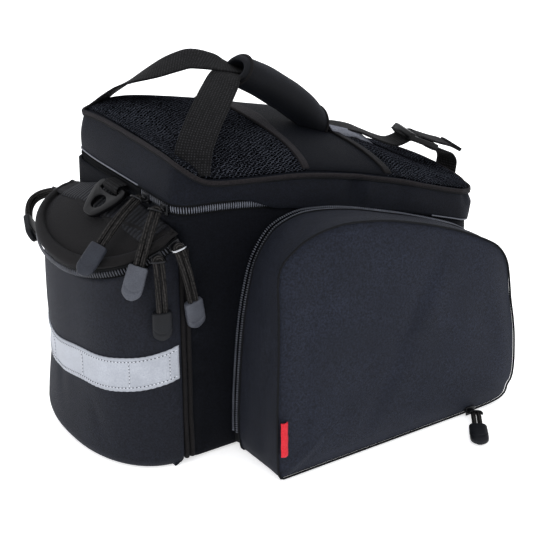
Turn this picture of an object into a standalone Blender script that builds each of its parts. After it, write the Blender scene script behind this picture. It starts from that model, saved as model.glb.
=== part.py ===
"""A bicycle trunk bag: a soft main tub with a zipped, domed lid and carrying handle, a barrel
pocket at the rear end and a padded pocket on each long side.

Sizes are in metres. +X is the front end, -Y the near long side and +Z up. The base is at z = 0.
"""

import math

import bpy
import numpy as np
from mathutils import Vector

for existing in list(bpy.data.objects):
    bpy.data.objects.remove(existing, do_unlink=True)

# Main compartment
REAR_X = -0.121
FRONT_X = 0.184
FRONT_BOW = 0.018
FRONT_BOW_REACH = 0.050
HALF_WIDTH = 0.095
CORNER_RADIUS = 0.016
REAR_ZIP_HEIGHT = 0.224
FRONT_ZIP_DROP = 0.066
ZIP_DROP_POWER = 1.6
CLOTH = 0.003
BASE_ROUNDING = 0.007
GAP = 0.0003

# Main zip
ZIP_CHAIN = 0.0084
ZIP_THICKNESS = 0.0026
ZIP_SEAM = 0.0005

# Lid
LID_SKIRT = 0.020
LID_CROWN = 0.013
LID_TILT = 0.005
LID_REAR_INSET = 0.009
LID_SIDE_INSET = 0.004
LID_FRONT_OUTSET = 0.005
PIPING_RADIUS = 0.0022
PANEL_INSET = 0.006
PANEL_THICKNESS = 0.0014
PANEL_LIFT = 0.0012
BINDING_WIDTH = 0.007
REAR_BINDING_X = 0.006
FRONT_BINDING_X = 0.088
BINDING_BOW = 0.006

# Handle
WEBBING_WIDTH = 0.030
WEBBING_THICKNESS = 0.0016
GRIP_LENGTH = 0.105
GRIP_WIDTH = 0.040
GRIP_HEIGHT = 0.027
GRIP_WALL = 0.0045
GRIP_TOP = Vector((-0.008, 0.0, REAR_ZIP_HEIGHT + 0.0775))
GRIP_END = Vector((0.082, -0.003, REAR_ZIP_HEIGHT + 0.0235))
NEAR_ROOT_BACK = 0.030
NEAR_ROOT_ACROSS = 0.715
FAR_ROOT_BACK = 0.021
FAR_ROOT_ACROSS = 0.885
STRAP_ROOT_LIFT = 0.0046
STRAP_LAYER = 0.0013
STRAP_REACH = 0.012
STRAP_BEND = 0.042
STRAP_ARCH = 0.012
STRAP_STEPS = 16
BUCKLE_CENTRE = Vector((0.172, -0.014, REAR_ZIP_HEIGHT - FRONT_ZIP_DROP + 0.0585))
BUCKLE_ALONG = Vector((0.88, -0.22, -0.40)).normalized()
BUCKLE_SIDE = Vector((0.25, 1.0, 0.0)).normalized()
BUCKLE_LENGTH = 0.032
BUCKLE_WIDTH = 0.040
BUCKLE_THICKNESS = 0.005
BUCKLE_BAR = 0.0045
BUCKLE_SLOT = 0.0036

# End pocket
POCKET_GAP = 0.0004
BARREL_DEPTH = 0.0645
BARREL_HALF_WIDTH = HALF_WIDTH + 0.0020
BARREL_POWER = 2.2
BARREL_STEPS = 20
RIM_DROP = 0.0185
RIM_HEIGHT = REAR_ZIP_HEIGHT - RIM_DROP
RIM_SLOPE = 0.55
FLAP_CROWN = 0.006
FLAP_THICKNESS = 0.0045
END_ZIP_CHAIN = 0.0080
BAND_WIDTH = 0.022
BAND_THICKNESS = 0.0014
END_PIPING_RADIUS = 0.0035
STRIP_LOW = 0.084
STRIP_HEIGHT = 0.030
STRIP_THICKNESS = 0.0008
STRIP_FALL = 0.016

# D-ring
RING_BAR_BACK = 0.0075
RING_BAR_DROP = 0.0044
RING_BAR = Vector((REAR_X - RING_BAR_BACK, -0.004, REAR_ZIP_HEIGHT - RING_BAR_DROP))
RING_DROP_ANGLE = math.radians(36.0)
RING_HALF_WIDTH = 0.0225
RING_DEPTH = 0.032
RING_THICKNESS = 0.0044
RING_BAR_HALF = 0.0020
LOOP_WIDTH = 0.025
LOOP_RADIUS = 0.0041
LOOP_THICKNESS = 0.0011

# Side pockets
POCKET_REAR_X = -0.075
POCKET_LENGTH = 0.262
POCKET_HEIGHT = 0.205
POCKET_DEPTH = 0.0680
POCKET_WALL = 0.0022
POCKET_LEAN = 0.010
POCKET_BULGE = 0.006
POCKET_POINTS = 36
BASE_FRONT_POINT = 25
PANEL_PUFF = 0.0065
SIDE_ZIP_SHARE = 0.13

# Outline of a side pocket against the body: along its length and up its height, in shares
BACK_OUTLINE = [
    {"along": 0.010, "up": 0.000},
    {"along": 0.010, "up": 0.230},
    {"along": 0.033, "up": 0.590},
    {"along": 0.078, "up": 0.825},
    {"along": 0.143, "up": 0.950},
    {"along": 0.250, "up": 0.992},
    {"along": 0.400, "up": 0.965},
    {"along": 0.660, "up": 0.865},
    {"along": 0.900, "up": 0.755},
    {"along": 0.965, "up": 0.690},
    {"along": 0.992, "up": 0.560},
    {"along": 1.000, "up": 0.300},
    {"along": 0.985, "up": 0.060},
    {"along": 0.930, "up": 0.000},
    {"along": 0.060, "up": 0.000},
]

# Outline of its front seam, in the same shares
FRONT_OUTLINE = [
    {"along": 0.014, "up": 0.000},
    {"along": 0.014, "up": 0.300},
    {"along": 0.028, "up": 0.680},
    {"along": 0.030, "up": 0.905},
    {"along": 0.100, "up": 0.975},
    {"along": 0.180, "up": 1.010},
    {"along": 0.285, "up": 1.022},
    {"along": 0.440, "up": 0.992},
    {"along": 0.605, "up": 0.930},
    {"along": 0.752, "up": 0.858},
    {"along": 0.895, "up": 0.765},
    {"along": 0.945, "up": 0.675},
    {"along": 0.960, "up": 0.510},
    {"along": 0.988, "up": 0.345},
    {"along": 1.000, "up": 0.120},
    {"along": 0.965, "up": 0.020},
    {"along": 0.900, "up": 0.000},
    {"along": 0.060, "up": 0.000},
]

# Label
LABEL_INSET = 0.0095
LABEL_WIDTH = 0.0065
LABEL_LOW = 0.026
LABEL_HEIGHT = 0.030
LABEL_LIFT = 0.0029
LABEL_THICKNESS = 0.0009

# Zip pulls
STRAND_RADIUS = 0.0019
STRAND_SPACING = 0.0046
TIP_LENGTH = 0.028
TIP_WIDTH = 0.0125
TIP_THICKNESS = 0.0060
SLIDER_LENGTH = 0.010
SLIDER_WIDTH = 0.0085
SLIDER_THICKNESS = 0.0040


def material(name, hex_colour, roughness, metallic=0.0):
    made = bpy.data.materials.new(name)
    made.use_nodes = True
    shader = made.node_tree.nodes["Principled BSDF"]
    linear = []
    for i in (0, 2, 4):
        share = int(hex_colour[i : i + 2], 16) / 255
        linear.append(share / 12.92 if share <= 0.04045 else ((share + 0.055) / 1.055) ** 2.4)
    shader.inputs["Base Color"].default_value = (*linear, 1.0)
    shader.inputs["Roughness"].default_value = roughness
    shader.inputs["Metallic"].default_value = metallic
    return made


def solid(name, points, faces, finish):
    """One closed mesh object with its faces turned out."""
    mesh = bpy.data.meshes.new(name)
    mesh.from_pydata([tuple(p) for p in points], [], faces)
    made = bpy.data.objects.new(name, mesh)
    bpy.context.collection.objects.link(made)
    bpy.ops.object.select_all(action="DESELECT")
    bpy.context.view_layer.objects.active = made
    made.select_set(True)
    bpy.ops.object.mode_set(mode="EDIT")
    bpy.ops.mesh.select_all(action="SELECT")
    bpy.ops.mesh.normals_make_consistent(inside=False)
    bpy.ops.object.mode_set(mode="OBJECT")
    mesh.polygons.foreach_set("use_smooth", [True] * len(mesh.polygons))
    mesh.materials.append(finish)
    return made


def loft(name, rings, finish, closed=False, domed=False):
    """Skins rings of equal count. Closed joins the last ring to the first; otherwise both are capped.
    A domed one is skinned and capped with triangles, which stay flat where its cloth curves."""
    count = len(rings[0])
    points = [p for ring in rings for p in ring]
    faces = []
    spans = len(rings) if closed else len(rings) - 1
    for i in range(spans):
        low = i * count
        high = ((i + 1) % len(rings)) * count
        for j in range(count):
            k = (j + 1) % count
            faces.append((low + j, low + k, high + k, high + j))
    if domed:
        faces = [t for a, b, c, d in faces for t in ((a, b, c), (a, c, d))]
        last = (len(rings) - 1) * count
        for start, ring in ((0, rings[0]), (last, rings[-1])):
            points.append(sum(ring, Vector()) / count)
            middle = len(points) - 1
            faces += [(start + j, start + (j + 1) % count, middle) for j in range(count)]
    elif not closed:
        faces.append(tuple(reversed(range(count))))
        faces.append(tuple(range((len(rings) - 1) * count, len(rings) * count)))
    return solid(name, points, faces, finish)


def ribbon(name, path, across, width, thickness, finish):
    """A flat band along a path. Across gives the direction of its width, at each point or for all."""
    rings = []
    for i, centre in enumerate(path):
        ahead = path[min(i + 1, len(path) - 1)] - path[max(i - 1, 0)]
        side = across[i] if isinstance(across, list) else across
        side = (side - ahead.normalized() * side.dot(ahead.normalized())).normalized()
        up = ahead.normalized().cross(side).normalized()
        half = side * (width[i] if isinstance(width, list) else width) / 2
        lift = up * thickness / 2
        rings.append([centre + half + lift, centre - half + lift, centre - half - lift, centre + half - lift])
    return loft(name, rings, finish)


def cord(name, path, radius, finish):
    """A round cord with filled ends along a path of points."""
    curve = bpy.data.curves.new(name, "CURVE")
    curve.dimensions = "3D"
    curve.bevel_depth = radius
    curve.bevel_resolution = 2
    curve.use_fill_caps = True
    spline = curve.splines.new("POLY")
    spline.points.add(len(path) - 1)
    for point, place in zip(spline.points, path):
        point.co = (*place, 1.0)
    made = bpy.data.objects.new(name, curve)
    bpy.context.collection.objects.link(made)
    curve.materials.append(finish)
    return made


def ring_tube(name, path, radius, finish, sides=6):
    """A closed round cord through a loop of points."""
    rings = []
    count = len(path)
    for i, centre in enumerate(path):
        ahead = (path[(i + 1) % count] - path[i - 1]).normalized()
        side = ahead.cross(Vector((0.0, 0.0, 1.0)))
        if side.length < 0.3:
            side = ahead.cross(Vector((0.0, 1.0, 0.0)))
        side.normalize()
        up = side.cross(ahead).normalized()
        ring = []
        for k in range(sides):
            turn = math.tau * (k + 0.5) / sides
            ring.append(centre + side * radius * math.cos(turn) + up * radius * math.sin(turn))
        rings.append(ring)
    return loft(name, rings, finish, closed=True)


def cut(target, cutter):
    """Takes the cutter's volume out of the target."""
    cutter.hide_render = True
    cutter.display_type = "WIRE"
    made = target.modifiers.new("Cut", "BOOLEAN")
    made.operation = "DIFFERENCE"
    made.solver = "EXACT"
    made.object = cutter


def bowed(x, y, front, half):
    """The front end swells out between its two corners."""
    share = min(max((x - front + FRONT_BOW_REACH) / FRONT_BOW_REACH, 0.0), 1.0)
    return x + FRONT_BOW * share * (1 - (y / half) ** 2)


def rounded_loop(rear, front, half, radius, corner=4, long=8, end=4):
    """A rounded rectangle seen from above, anticlockwise, as (x, y) pairs."""
    centres = [
        (front - radius, -half + radius, -0.5 * math.pi, end),
        (front - radius, half - radius, 0.0, long),
        (rear + radius, half - radius, 0.5 * math.pi, end),
        (rear + radius, -half + radius, math.pi, long),
    ]
    arcs = []
    for cx, cy, start, _ in centres:
        arc = []
        for k in range(corner + 1):
            turn = start + 0.5 * math.pi * k / corner
            arc.append((cx + radius * math.cos(turn), cy + radius * math.sin(turn)))
        arcs.append(arc)
    loop = []
    for i, arc in enumerate(arcs):
        loop += arc
        follow = arcs[(i + 1) % 4][0]
        steps = centres[i][3]
        for k in range(1, steps):
            share = k / steps
            loop.append(
                (
                    arc[-1][0] + (follow[0] - arc[-1][0]) * share,
                    arc[-1][1] + (follow[1] - arc[-1][1]) * share,
                )
            )
    return [(bowed(x, y, front, half), y) for x, y in loop]


def offset_loop(loop, distance):
    """An anticlockwise loop moved outwards by a distance along each point's normal."""
    moved = []
    count = len(loop)
    for i in range(count):
        ax, ay = loop[i - 1]
        bx, by = loop[(i + 1) % count]
        length = math.hypot(bx - ax, by - ay)
        moved.append(
            (
                loop[i][0] + distance * (by - ay) / length,
                loop[i][1] - distance * (bx - ax) / length,
            )
        )
    return moved


def shrunk_loop(loop, share):
    """A loop drawn towards the middle of its box."""
    cx = (min(p[0] for p in loop) + max(p[0] for p in loop)) / 2
    cy = (min(p[1] for p in loop) + max(p[1] for p in loop)) / 2
    return [(cx + (x - cx) * share, cy + (y - cy) * share) for x, y in loop]


def zip_height(x):
    share = min(max((x - REAR_X) / (FRONT_X - REAR_X), 0.0), 1.0)
    return REAR_ZIP_HEIGHT - FRONT_ZIP_DROP * share**ZIP_DROP_POWER


def lid_height(x, y):
    across = min(abs(y) / HALF_WIDTH, 1.0)
    crown = LID_CROWN * (1 - across**3)
    return zip_height(x) + LID_SKIRT + crown + LID_TILT * y / HALF_WIDTH


def at_height(loop, height):
    return [Vector((x, y, height(x, y))) for x, y in loop]


def build_main_compartment():
    body = rounded_loop(REAR_X, FRONT_X, HALF_WIDTH, CORNER_RADIUS)
    inside = offset_loop(body, -CLOTH)
    low_zip = ZIP_CHAIN / 2

    def top(x, y):
        return zip_height(x) - low_zip - ZIP_SEAM

    rings = [
        at_height(offset_loop(body, -BASE_ROUNDING), lambda x, y: 0.0),
        at_height(offset_loop(body, -BASE_ROUNDING * 0.3), lambda x, y: BASE_ROUNDING * 0.3),
        at_height(body, lambda x, y: BASE_ROUNDING),
        at_height(body, top),
        at_height(inside, top),
        at_height(inside, lambda x, y: BASE_ROUNDING + CLOTH),
        at_height(offset_loop(inside, -BASE_ROUNDING), lambda x, y: CLOTH),
    ]
    loft("body_shell", rings, CLOTH_FINISH)

    chain_in = offset_loop(body, -ZIP_THICKNESS)
    rings = [
        at_height(body, lambda x, y: zip_height(x) - low_zip),
        at_height(body, lambda x, y: zip_height(x) + low_zip),
        at_height(chain_in, lambda x, y: zip_height(x) + low_zip),
        at_height(chain_in, lambda x, y: zip_height(x) - low_zip),
    ]
    loft("main_zip", rings, ZIP_FINISH, closed=True)
    return body


def lid_edge_loop():
    return rounded_loop(
        REAR_X + LID_REAR_INSET,
        FRONT_X + LID_FRONT_OUTSET,
        HALF_WIDTH - LID_SIDE_INSET,
        CORNER_RADIUS,
    )


def build_lid(body):
    low = ZIP_CHAIN / 2 + ZIP_SEAM
    edge = lid_edge_loop()
    top_in = offset_loop(edge, -0.005)
    shares = (0.90, 0.74, 0.54, 0.28)

    rings = [
        at_height(body, lambda x, y: zip_height(x) + low),
        at_height(edge, lambda x, y: lid_height(x, y) - 0.005),
        at_height(top_in, lid_height),
    ]
    rings += [at_height(shrunk_loop(top_in, share), lid_height) for share in shares]
    rings += [
        at_height(shrunk_loop(top_in, share), lambda x, y: lid_height(x, y) - CLOTH)
        for share in reversed(shares)
    ]
    rings += [
        at_height(top_in, lambda x, y: lid_height(x, y) - CLOTH - 0.002),
        at_height(offset_loop(body, -CLOTH - 0.004), lambda x, y: zip_height(x) + low + 0.004),
        at_height(offset_loop(body, -CLOTH), lambda x, y: zip_height(x) + low),
    ]
    # The skirt's hem closes the skin: outer and inner hems are the first and the last ring
    count = len(rings[0])
    points = [p for ring in rings for p in ring]
    faces = []
    last_outer = 2 + len(shares)
    for i in range(len(rings)):
        if i == last_outer:
            continue
        a = i * count
        b = ((i + 1) % len(rings)) * count
        for j in range(count):
            k = (j + 1) % count
            faces.append((a + j, a + k, b + k, b + j))
    outer = last_outer * count
    inner = (last_outer + 1) * count
    faces.append(tuple(range(outer, outer + count)))
    faces.append(tuple(reversed(range(inner, inner + count))))
    solid("lid_shell", points, faces, CLOTH_FINISH)

    welt = offset_loop(edge, PIPING_RADIUS + GAP + 0.0002)
    path = []
    for (x, y), (ex, ey) in zip(welt, edge):
        path.append(Vector((x, y, lid_height(ex, ey) - 0.0035)))
    ring_tube("lid_piping", path, PIPING_RADIUS, TRIM_FINISH)


def draped(name, edges, lift, thickness, finish, rows=12, columns=4):
    """A sheet laid over the lid between two edge functions of y, in columns along X."""
    half = HALF_WIDTH - LID_SIDE_INSET - PANEL_INSET
    start, stop = edges
    low, high = [], []
    for r in range(rows + 1):
        y = -half + 2 * half * r / rows
        for c in range(columns + 1):
            x = start(y) + (stop(y) - start(y)) * c / columns
            z = lid_height(x, y) + lift
            low.append(Vector((x, y, z)))
            high.append(Vector((x, y, z + thickness)))
    points = low + high
    top = len(low)
    wide = columns + 1
    faces = []
    for r in range(rows):
        for c in range(columns):
            a = r * wide + c
            faces.append((a, a + wide, a + wide + 1, a + 1))
            faces.append((top + a, top + a + 1, top + a + wide + 1, top + a + wide))
    rim = list(range(wide))
    rim += [r * wide + columns for r in range(1, rows + 1)]
    rim += [rows * wide + c for c in range(columns - 1, -1, -1)]
    rim += [r * wide for r in range(rows - 1, 0, -1)]
    for i, a in enumerate(rim):
        b = rim[(i + 1) % len(rim)]
        faces.append((a, b, top + b, top + a))
    return solid(name, points, faces, finish)


def build_lid_panels():
    rear = REAR_X + LID_REAR_INSET + PANEL_INSET
    front = FRONT_X + LID_FRONT_OUTSET - PANEL_INSET

    def rear_arc(y):
        return REAR_BINDING_X - BINDING_BOW * (y / HALF_WIDTH) ** 2

    def front_arc(y):
        return FRONT_BINDING_X + BINDING_BOW * (y / HALF_WIDTH) ** 2

    step = GAP
    draped("mesh_rear", (lambda y: rear, rear_arc), PANEL_LIFT, PANEL_THICKNESS, MESH_FINISH)
    draped(
        "binding_rear",
        (lambda y: rear_arc(y) + step, lambda y: rear_arc(y) + BINDING_WIDTH),
        PANEL_LIFT,
        PANEL_THICKNESS * 1.6,
        TRIM_FINISH,
        columns=1,
    )
    draped(
        "lid_centre_panel",
        (lambda y: rear_arc(y) + BINDING_WIDTH + step, lambda y: front_arc(y) - BINDING_WIDTH - step),
        PANEL_LIFT,
        PANEL_THICKNESS,
        CLOTH_FINISH,
        columns=3,
    )
    draped(
        "binding_front",
        (lambda y: front_arc(y) - BINDING_WIDTH, lambda y: front_arc(y) - step),
        PANEL_LIFT,
        PANEL_THICKNESS * 1.6,
        TRIM_FINISH,
        columns=1,
    )

    def front_edge(y):
        return bowed(front, y, front, HALF_WIDTH - LID_SIDE_INSET)

    draped("mesh_front", (front_arc, front_edge), PANEL_LIFT, PANEL_THICKNESS, MESH_FINISH)


def build_handle():
    axis = (GRIP_END - GRIP_TOP).normalized()
    side = axis.cross(Vector((0.0, 0.0, 1.0))).normalized()
    up = side.cross(axis).normalized()

    def oval(centre, width, height):
        ring = []
        for k in range(16):
            turn = math.tau * k / 16
            ring.append(centre + side * width / 2 * math.cos(turn) + up * height / 2 * math.sin(turn))
        return ring

    rings = []
    steps = 6
    for i in range(steps + 1):
        share = i / steps
        bow = 0.006 * 4 * share * (1 - share)
        taper = 1 - 0.10 * (2 * share - 1) ** 4
        centre = GRIP_TOP + axis * GRIP_LENGTH * share + up * bow
        rings.append((centre, taper))
    outer = [oval(c, GRIP_WIDTH * t, GRIP_HEIGHT * t) for c, t in rings]
    inner = [
        oval(c, GRIP_WIDTH * t - 2 * GRIP_WALL, GRIP_HEIGHT * t - 2 * GRIP_WALL)
        for c, t in reversed(rings)
    ]
    loft("grip_sleeve", outer + inner, TRIM_FINISH, closed=True)

    for name, sign, back, outward in (
        ("strap_near", -1, NEAR_ROOT_BACK, NEAR_ROOT_ACROSS),
        ("strap_far", 1, FAR_ROOT_BACK, FAR_ROOT_ACROSS),
    ):
        root_x = REAR_X + back
        root_y = sign * HALF_WIDTH * outward
        root = Vector((root_x, root_y, lid_height(root_x, root_y) + STRAP_ROOT_LIFT))
        layer = up * sign * STRAP_LAYER
        stop = GRIP_TOP + axis * STRAP_REACH + layer
        bend = GRIP_TOP - axis * STRAP_BEND + layer
        first = root.lerp(GRIP_TOP, 0.35) + Vector((0.0, 0.0, STRAP_ARCH))
        root_side = Vector((0.63, 0.77 * sign, 0.0))
        ahead = root + root_side * WEBBING_WIDTH / 2
        behind = root - root_side * WEBBING_WIDTH / 2
        root_side.z = (lid_height(ahead.x, ahead.y) - lid_height(behind.x, behind.y)) / WEBBING_WIDTH
        path, across, widths = [], [], []
        for i in range(STRAP_STEPS + 1):
            t = i / STRAP_STEPS
            point = root * (1 - t) ** 3 + first * 3 * t * (1 - t) ** 2
            point += bend * 3 * t**2 * (1 - t) + stop * t**3
            turned = min(max((t - 0.3) / 0.6, 0.0), 1.0)
            path.append(point)
            across.append(root_side.lerp(Vector((0.0, sign, 0.0)), turned))
            widths.append(WEBBING_WIDTH * (1 - 0.28 * turned))
        ribbon(name, path, across, widths, WEBBING_THICKNESS, TRIM_FINISH)

    start = GRIP_END - axis * STRAP_REACH
    stop = BUCKLE_CENTRE - BUCKLE_ALONG * (BUCKLE_LENGTH / 2 + 0.0030)
    path, widths = [], []
    for i in range(13):
        share = i / 12
        leave = GRIP_END + axis * STRAP_REACH * 1.8
        point = start * (1 - share) ** 2 + leave * 2 * share * (1 - share) + stop * share**2
        path.append(point)
        widths.append(WEBBING_WIDTH * (1 - 0.28 * (1 - min(share / 0.4, 1.0))))
    ribbon("strap_front", path, BUCKLE_SIDE, widths, WEBBING_THICKNESS, TRIM_FINISH)
    below = [p + Vector((0.0, 0.0, -WEBBING_THICKNESS - 0.0007)) for p in path[5:11]]
    ribbon("strap_reflector", below, BUCKLE_SIDE, WEBBING_WIDTH * 0.9, 0.001, REFLECTOR_FINISH)


def build_buckle():
    along = BUCKLE_ALONG
    side = BUCKLE_SIDE
    up = along.cross(side).normalized()
    if up.z < 0:
        up = -up

    def block(name, low, high, finish):
        corners = []
        for w in (low[2], high[2]):
            for u, v in ((low[0], low[1]), (high[0], low[1]), (high[0], high[1]), (low[0], high[1])):
                corners.append(BUCKLE_CENTRE + along * u + side * v + up * w)
        return loft(name, [corners[:4], corners[4:]], finish)

    half_l, half_w, half_t = BUCKLE_LENGTH / 2, BUCKLE_WIDTH / 2, BUCKLE_THICKNESS / 2
    buckle = block("ladder_lock", (-half_l, -half_w, -half_t), (half_l, half_w, half_t), PLASTIC_FINISH)
    slot_half = half_w - BUCKLE_BAR
    for name, low, high in (
        ("buckle_slot_rear", -half_l + BUCKLE_BAR, -half_l + BUCKLE_BAR + BUCKLE_SLOT),
        ("buckle_slot_front", half_l - BUCKLE_BAR - BUCKLE_SLOT, half_l - BUCKLE_BAR),
    ):
        slot = block(name, (low, -slot_half, -0.01), (high, slot_half, 0.01), PLASTIC_FINISH)
        cut(buckle, slot)

    tail_start = BUCKLE_CENTRE + along * (half_l - 0.004) + up * (half_t + 0.0014)
    tail_end = BUCKLE_CENTRE + along * (half_l + 0.028) + up * 0.004
    path = [tail_start.lerp(tail_end, i / 4) for i in range(5)]
    ribbon("strap_tail", path, side, WEBBING_WIDTH * 0.97, WEBBING_THICKNESS, TRIM_FINISH)

    edge_x = FRONT_X + FRONT_BOW + LID_FRONT_OUTSET + 2 * PIPING_RADIUS + 0.0030
    hook = BUCKLE_CENTRE + along * (half_l - 0.002) - up * (half_t + 0.0014)
    crest = lid_height(FRONT_X, 0.0) + 0.0016
    over = Vector((edge_x - 0.0085, hook.y - 0.003, crest))
    past = Vector((edge_x - 0.0010, hook.y - 0.004, crest - 0.0030))
    down = Vector((edge_x, hook.y - 0.006, zip_height(FRONT_X) + 0.010))
    path = [hook, hook.lerp(over, 0.5), over, past, past.lerp(down, 0.5), down]
    level = Vector((0.0, 1.0, 0.0))
    across = [side, side.lerp(level, 0.5), level, level, level, level]
    ribbon("strap_anchor", path, across, WEBBING_WIDTH * 0.97, WEBBING_THICKNESS, TRIM_FINISH)


def barrel_loop(shrink=0.0):
    """The end pocket's D seen from above, anticlockwise, its straight back against the body."""
    back = REAR_X - POCKET_GAP
    loop = []
    steps = BARREL_STEPS
    for k in range(steps + 1):
        turn = 0.5 * math.pi + math.pi * k / steps
        out = abs(math.cos(turn)) ** (2 / BARREL_POWER)
        wide = math.copysign(abs(math.sin(turn)) ** (2 / BARREL_POWER), math.sin(turn))
        loop.append((back - BARREL_DEPTH * out, BARREL_HALF_WIDTH * wide))
    for k in range(1, 6):
        share = k / 6
        loop.append((back, -BARREL_HALF_WIDTH + 2 * BARREL_HALF_WIDTH * share))
    if not shrink:
        return loop
    return [(min(x, back - shrink), y) for x, y in offset_loop(loop, -shrink)]


def rim_height(x, y):
    out = min(max((REAR_X - x) / BARREL_DEPTH, 0.0), 1.0)
    across = min(abs(y) / BARREL_HALF_WIDTH, 1.0)
    return RIM_HEIGHT - RIM_SLOPE * BARREL_DEPTH * out + FLAP_CROWN * (1 - across**2) * (1 - out)


def build_end_pocket():
    barrel = barrel_loop()
    wall_in = barrel_loop(CLOTH * 0.8)
    below = END_ZIP_CHAIN + 2 * GAP

    rings = [
        at_height(barrel_loop(BASE_ROUNDING), lambda x, y: 0.001),
        at_height(barrel_loop(BASE_ROUNDING * 0.3), lambda x, y: BASE_ROUNDING * 0.35),
        at_height(barrel, lambda x, y: BASE_ROUNDING * 1.2),
        at_height(barrel, lambda x, y: rim_height(x, y) - below),
        at_height(wall_in, lambda x, y: rim_height(x, y) - below),
        at_height(wall_in, lambda x, y: BASE_ROUNDING * 1.2 + 0.002),
        at_height(barrel_loop(BASE_ROUNDING + CLOTH), lambda x, y: CLOTH),
    ]
    loft("end_pocket_shell", rings, CLOTH_FINISH)

    rings = [
        at_height(barrel, lambda x, y: rim_height(x, y) - END_ZIP_CHAIN - GAP),
        at_height(barrel, lambda x, y: rim_height(x, y) - GAP),
        at_height(wall_in, lambda x, y: rim_height(x, y) - GAP),
        at_height(wall_in, lambda x, y: rim_height(x, y) - END_ZIP_CHAIN - GAP),
    ]
    loft("end_zip", rings, ZIP_FINISH, closed=True)

    def flap_top(x, y):
        return rim_height(x, y) + FLAP_THICKNESS

    rings = []
    for share in (0.3, 0.62, 0.88):
        inner = shrunk_loop(barrel_loop(0.010), share)
        rings.append(at_height(inner, lambda x, y: rim_height(x, y) + 0.0012))
    rings.append(at_height(barrel_loop(0.003), rim_height))
    rings.append(at_height(barrel_loop(0.0004), lambda x, y: rim_height(x, y) + 0.0012))
    rings.append(at_height(barrel_loop(0.0004), lambda x, y: flap_top(x, y) - 0.0012))
    rings.append(at_height(barrel_loop(0.0030), flap_top))
    rings.append(at_height(barrel_loop(0.0080), flap_top))
    rings.append(at_height(barrel_loop(0.0100), lambda x, y: flap_top(x, y) - 0.0016))
    rings.append(at_height(shrunk_loop(barrel_loop(0.010), 0.95), lambda x, y: flap_top(x, y) - 0.0006))
    for share in (0.62, 0.3):
        rings.append(at_height(shrunk_loop(barrel_loop(0.010), share), lambda x, y: flap_top(x, y) - 0.0004))
    loft("end_flap", rings, CLOTH_FINISH, domed=True)

    back = REAR_X - POCKET_GAP - 0.001
    low, high = [], []
    half = BARREL_HALF_WIDTH * 0.86
    rows = 12
    for r in range(rows + 1):
        y = -half + 2 * half * r / rows
        for x in (back, back - BAND_WIDTH / 2, back - BAND_WIDTH):
            z = flap_top(x, y) + 2 * GAP
            low.append(Vector((x, y, z)))
            high.append(Vector((x, y, z + BAND_THICKNESS)))
    points = low + high
    top = len(low)
    faces = []
    for r in range(rows):
        for c in range(2):
            a = r * 3 + c
            faces.append((a, a + 3, a + 4, a + 1))
            faces.append((top + a, top + a + 1, top + a + 4, top + a + 3))
    rim = [0, 1] + [r * 3 + 2 for r in range(rows + 1)] + [rows * 3 + 1] + [r * 3 for r in range(rows, 0, -1)]
    for i, a in enumerate(rim):
        b = rim[(i + 1) % len(rim)]
        faces.append((a, b, top + b, top + a))
    solid("hinge_band", points, faces, TRIM_FINISH)

    face = offset_loop(barrel, GAP)
    arc_in = face[1:BARREL_STEPS]
    arc_out = offset_loop(barrel, GAP + STRIP_THICKNESS)[1:BARREL_STEPS]

    def strip_low(x):
        return STRIP_LOW - STRIP_FALL * min(max((REAR_X - x) / BARREL_DEPTH, 0.0), 1.0)

    points = []
    for (x, y), (ox, oy) in zip(arc_in, arc_out):
        z = strip_low(x)
        points += [Vector((x, y, z)), Vector((ox, oy, z))]
        points += [Vector((ox, oy, z + STRIP_HEIGHT)), Vector((x, y, z + STRIP_HEIGHT))]
    faces = []
    for i in range(len(arc_in) - 1):
        for k in range(4):
            m = (k + 1) % 4
            faces.append((i * 4 + k, i * 4 + m, i * 4 + 4 + m, i * 4 + 4 + k))
    end = (len(arc_in) - 1) * 4
    faces.append((0, 3, 2, 1))
    faces.append((end, end + 1, end + 2, end + 3))
    solid("reflective_strip", points, faces, REFLECTOR_FINISH)

    for name, sign in (("end_piping_near", -1), ("end_piping_far", 1)):
        x = REAR_X + END_PIPING_RADIUS
        reach = CORNER_RADIUS + END_PIPING_RADIUS + GAP
        y = sign * (HALF_WIDTH - CORNER_RADIUS + math.sqrt(reach**2 - (REAR_X + CORNER_RADIUS - x) ** 2))
        radius = END_PIPING_RADIUS
        rings = []
        for z in (0.006, 0.06, 0.12, RIM_HEIGHT - 0.015):
            ring = []
            for k in range(8):
                turn = math.tau * k / 8
                ring.append(Vector((x + radius * math.cos(turn), y + radius * math.sin(turn), z)))
            rings.append(ring)
        loft(name, rings, TRIM_FINISH)


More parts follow.
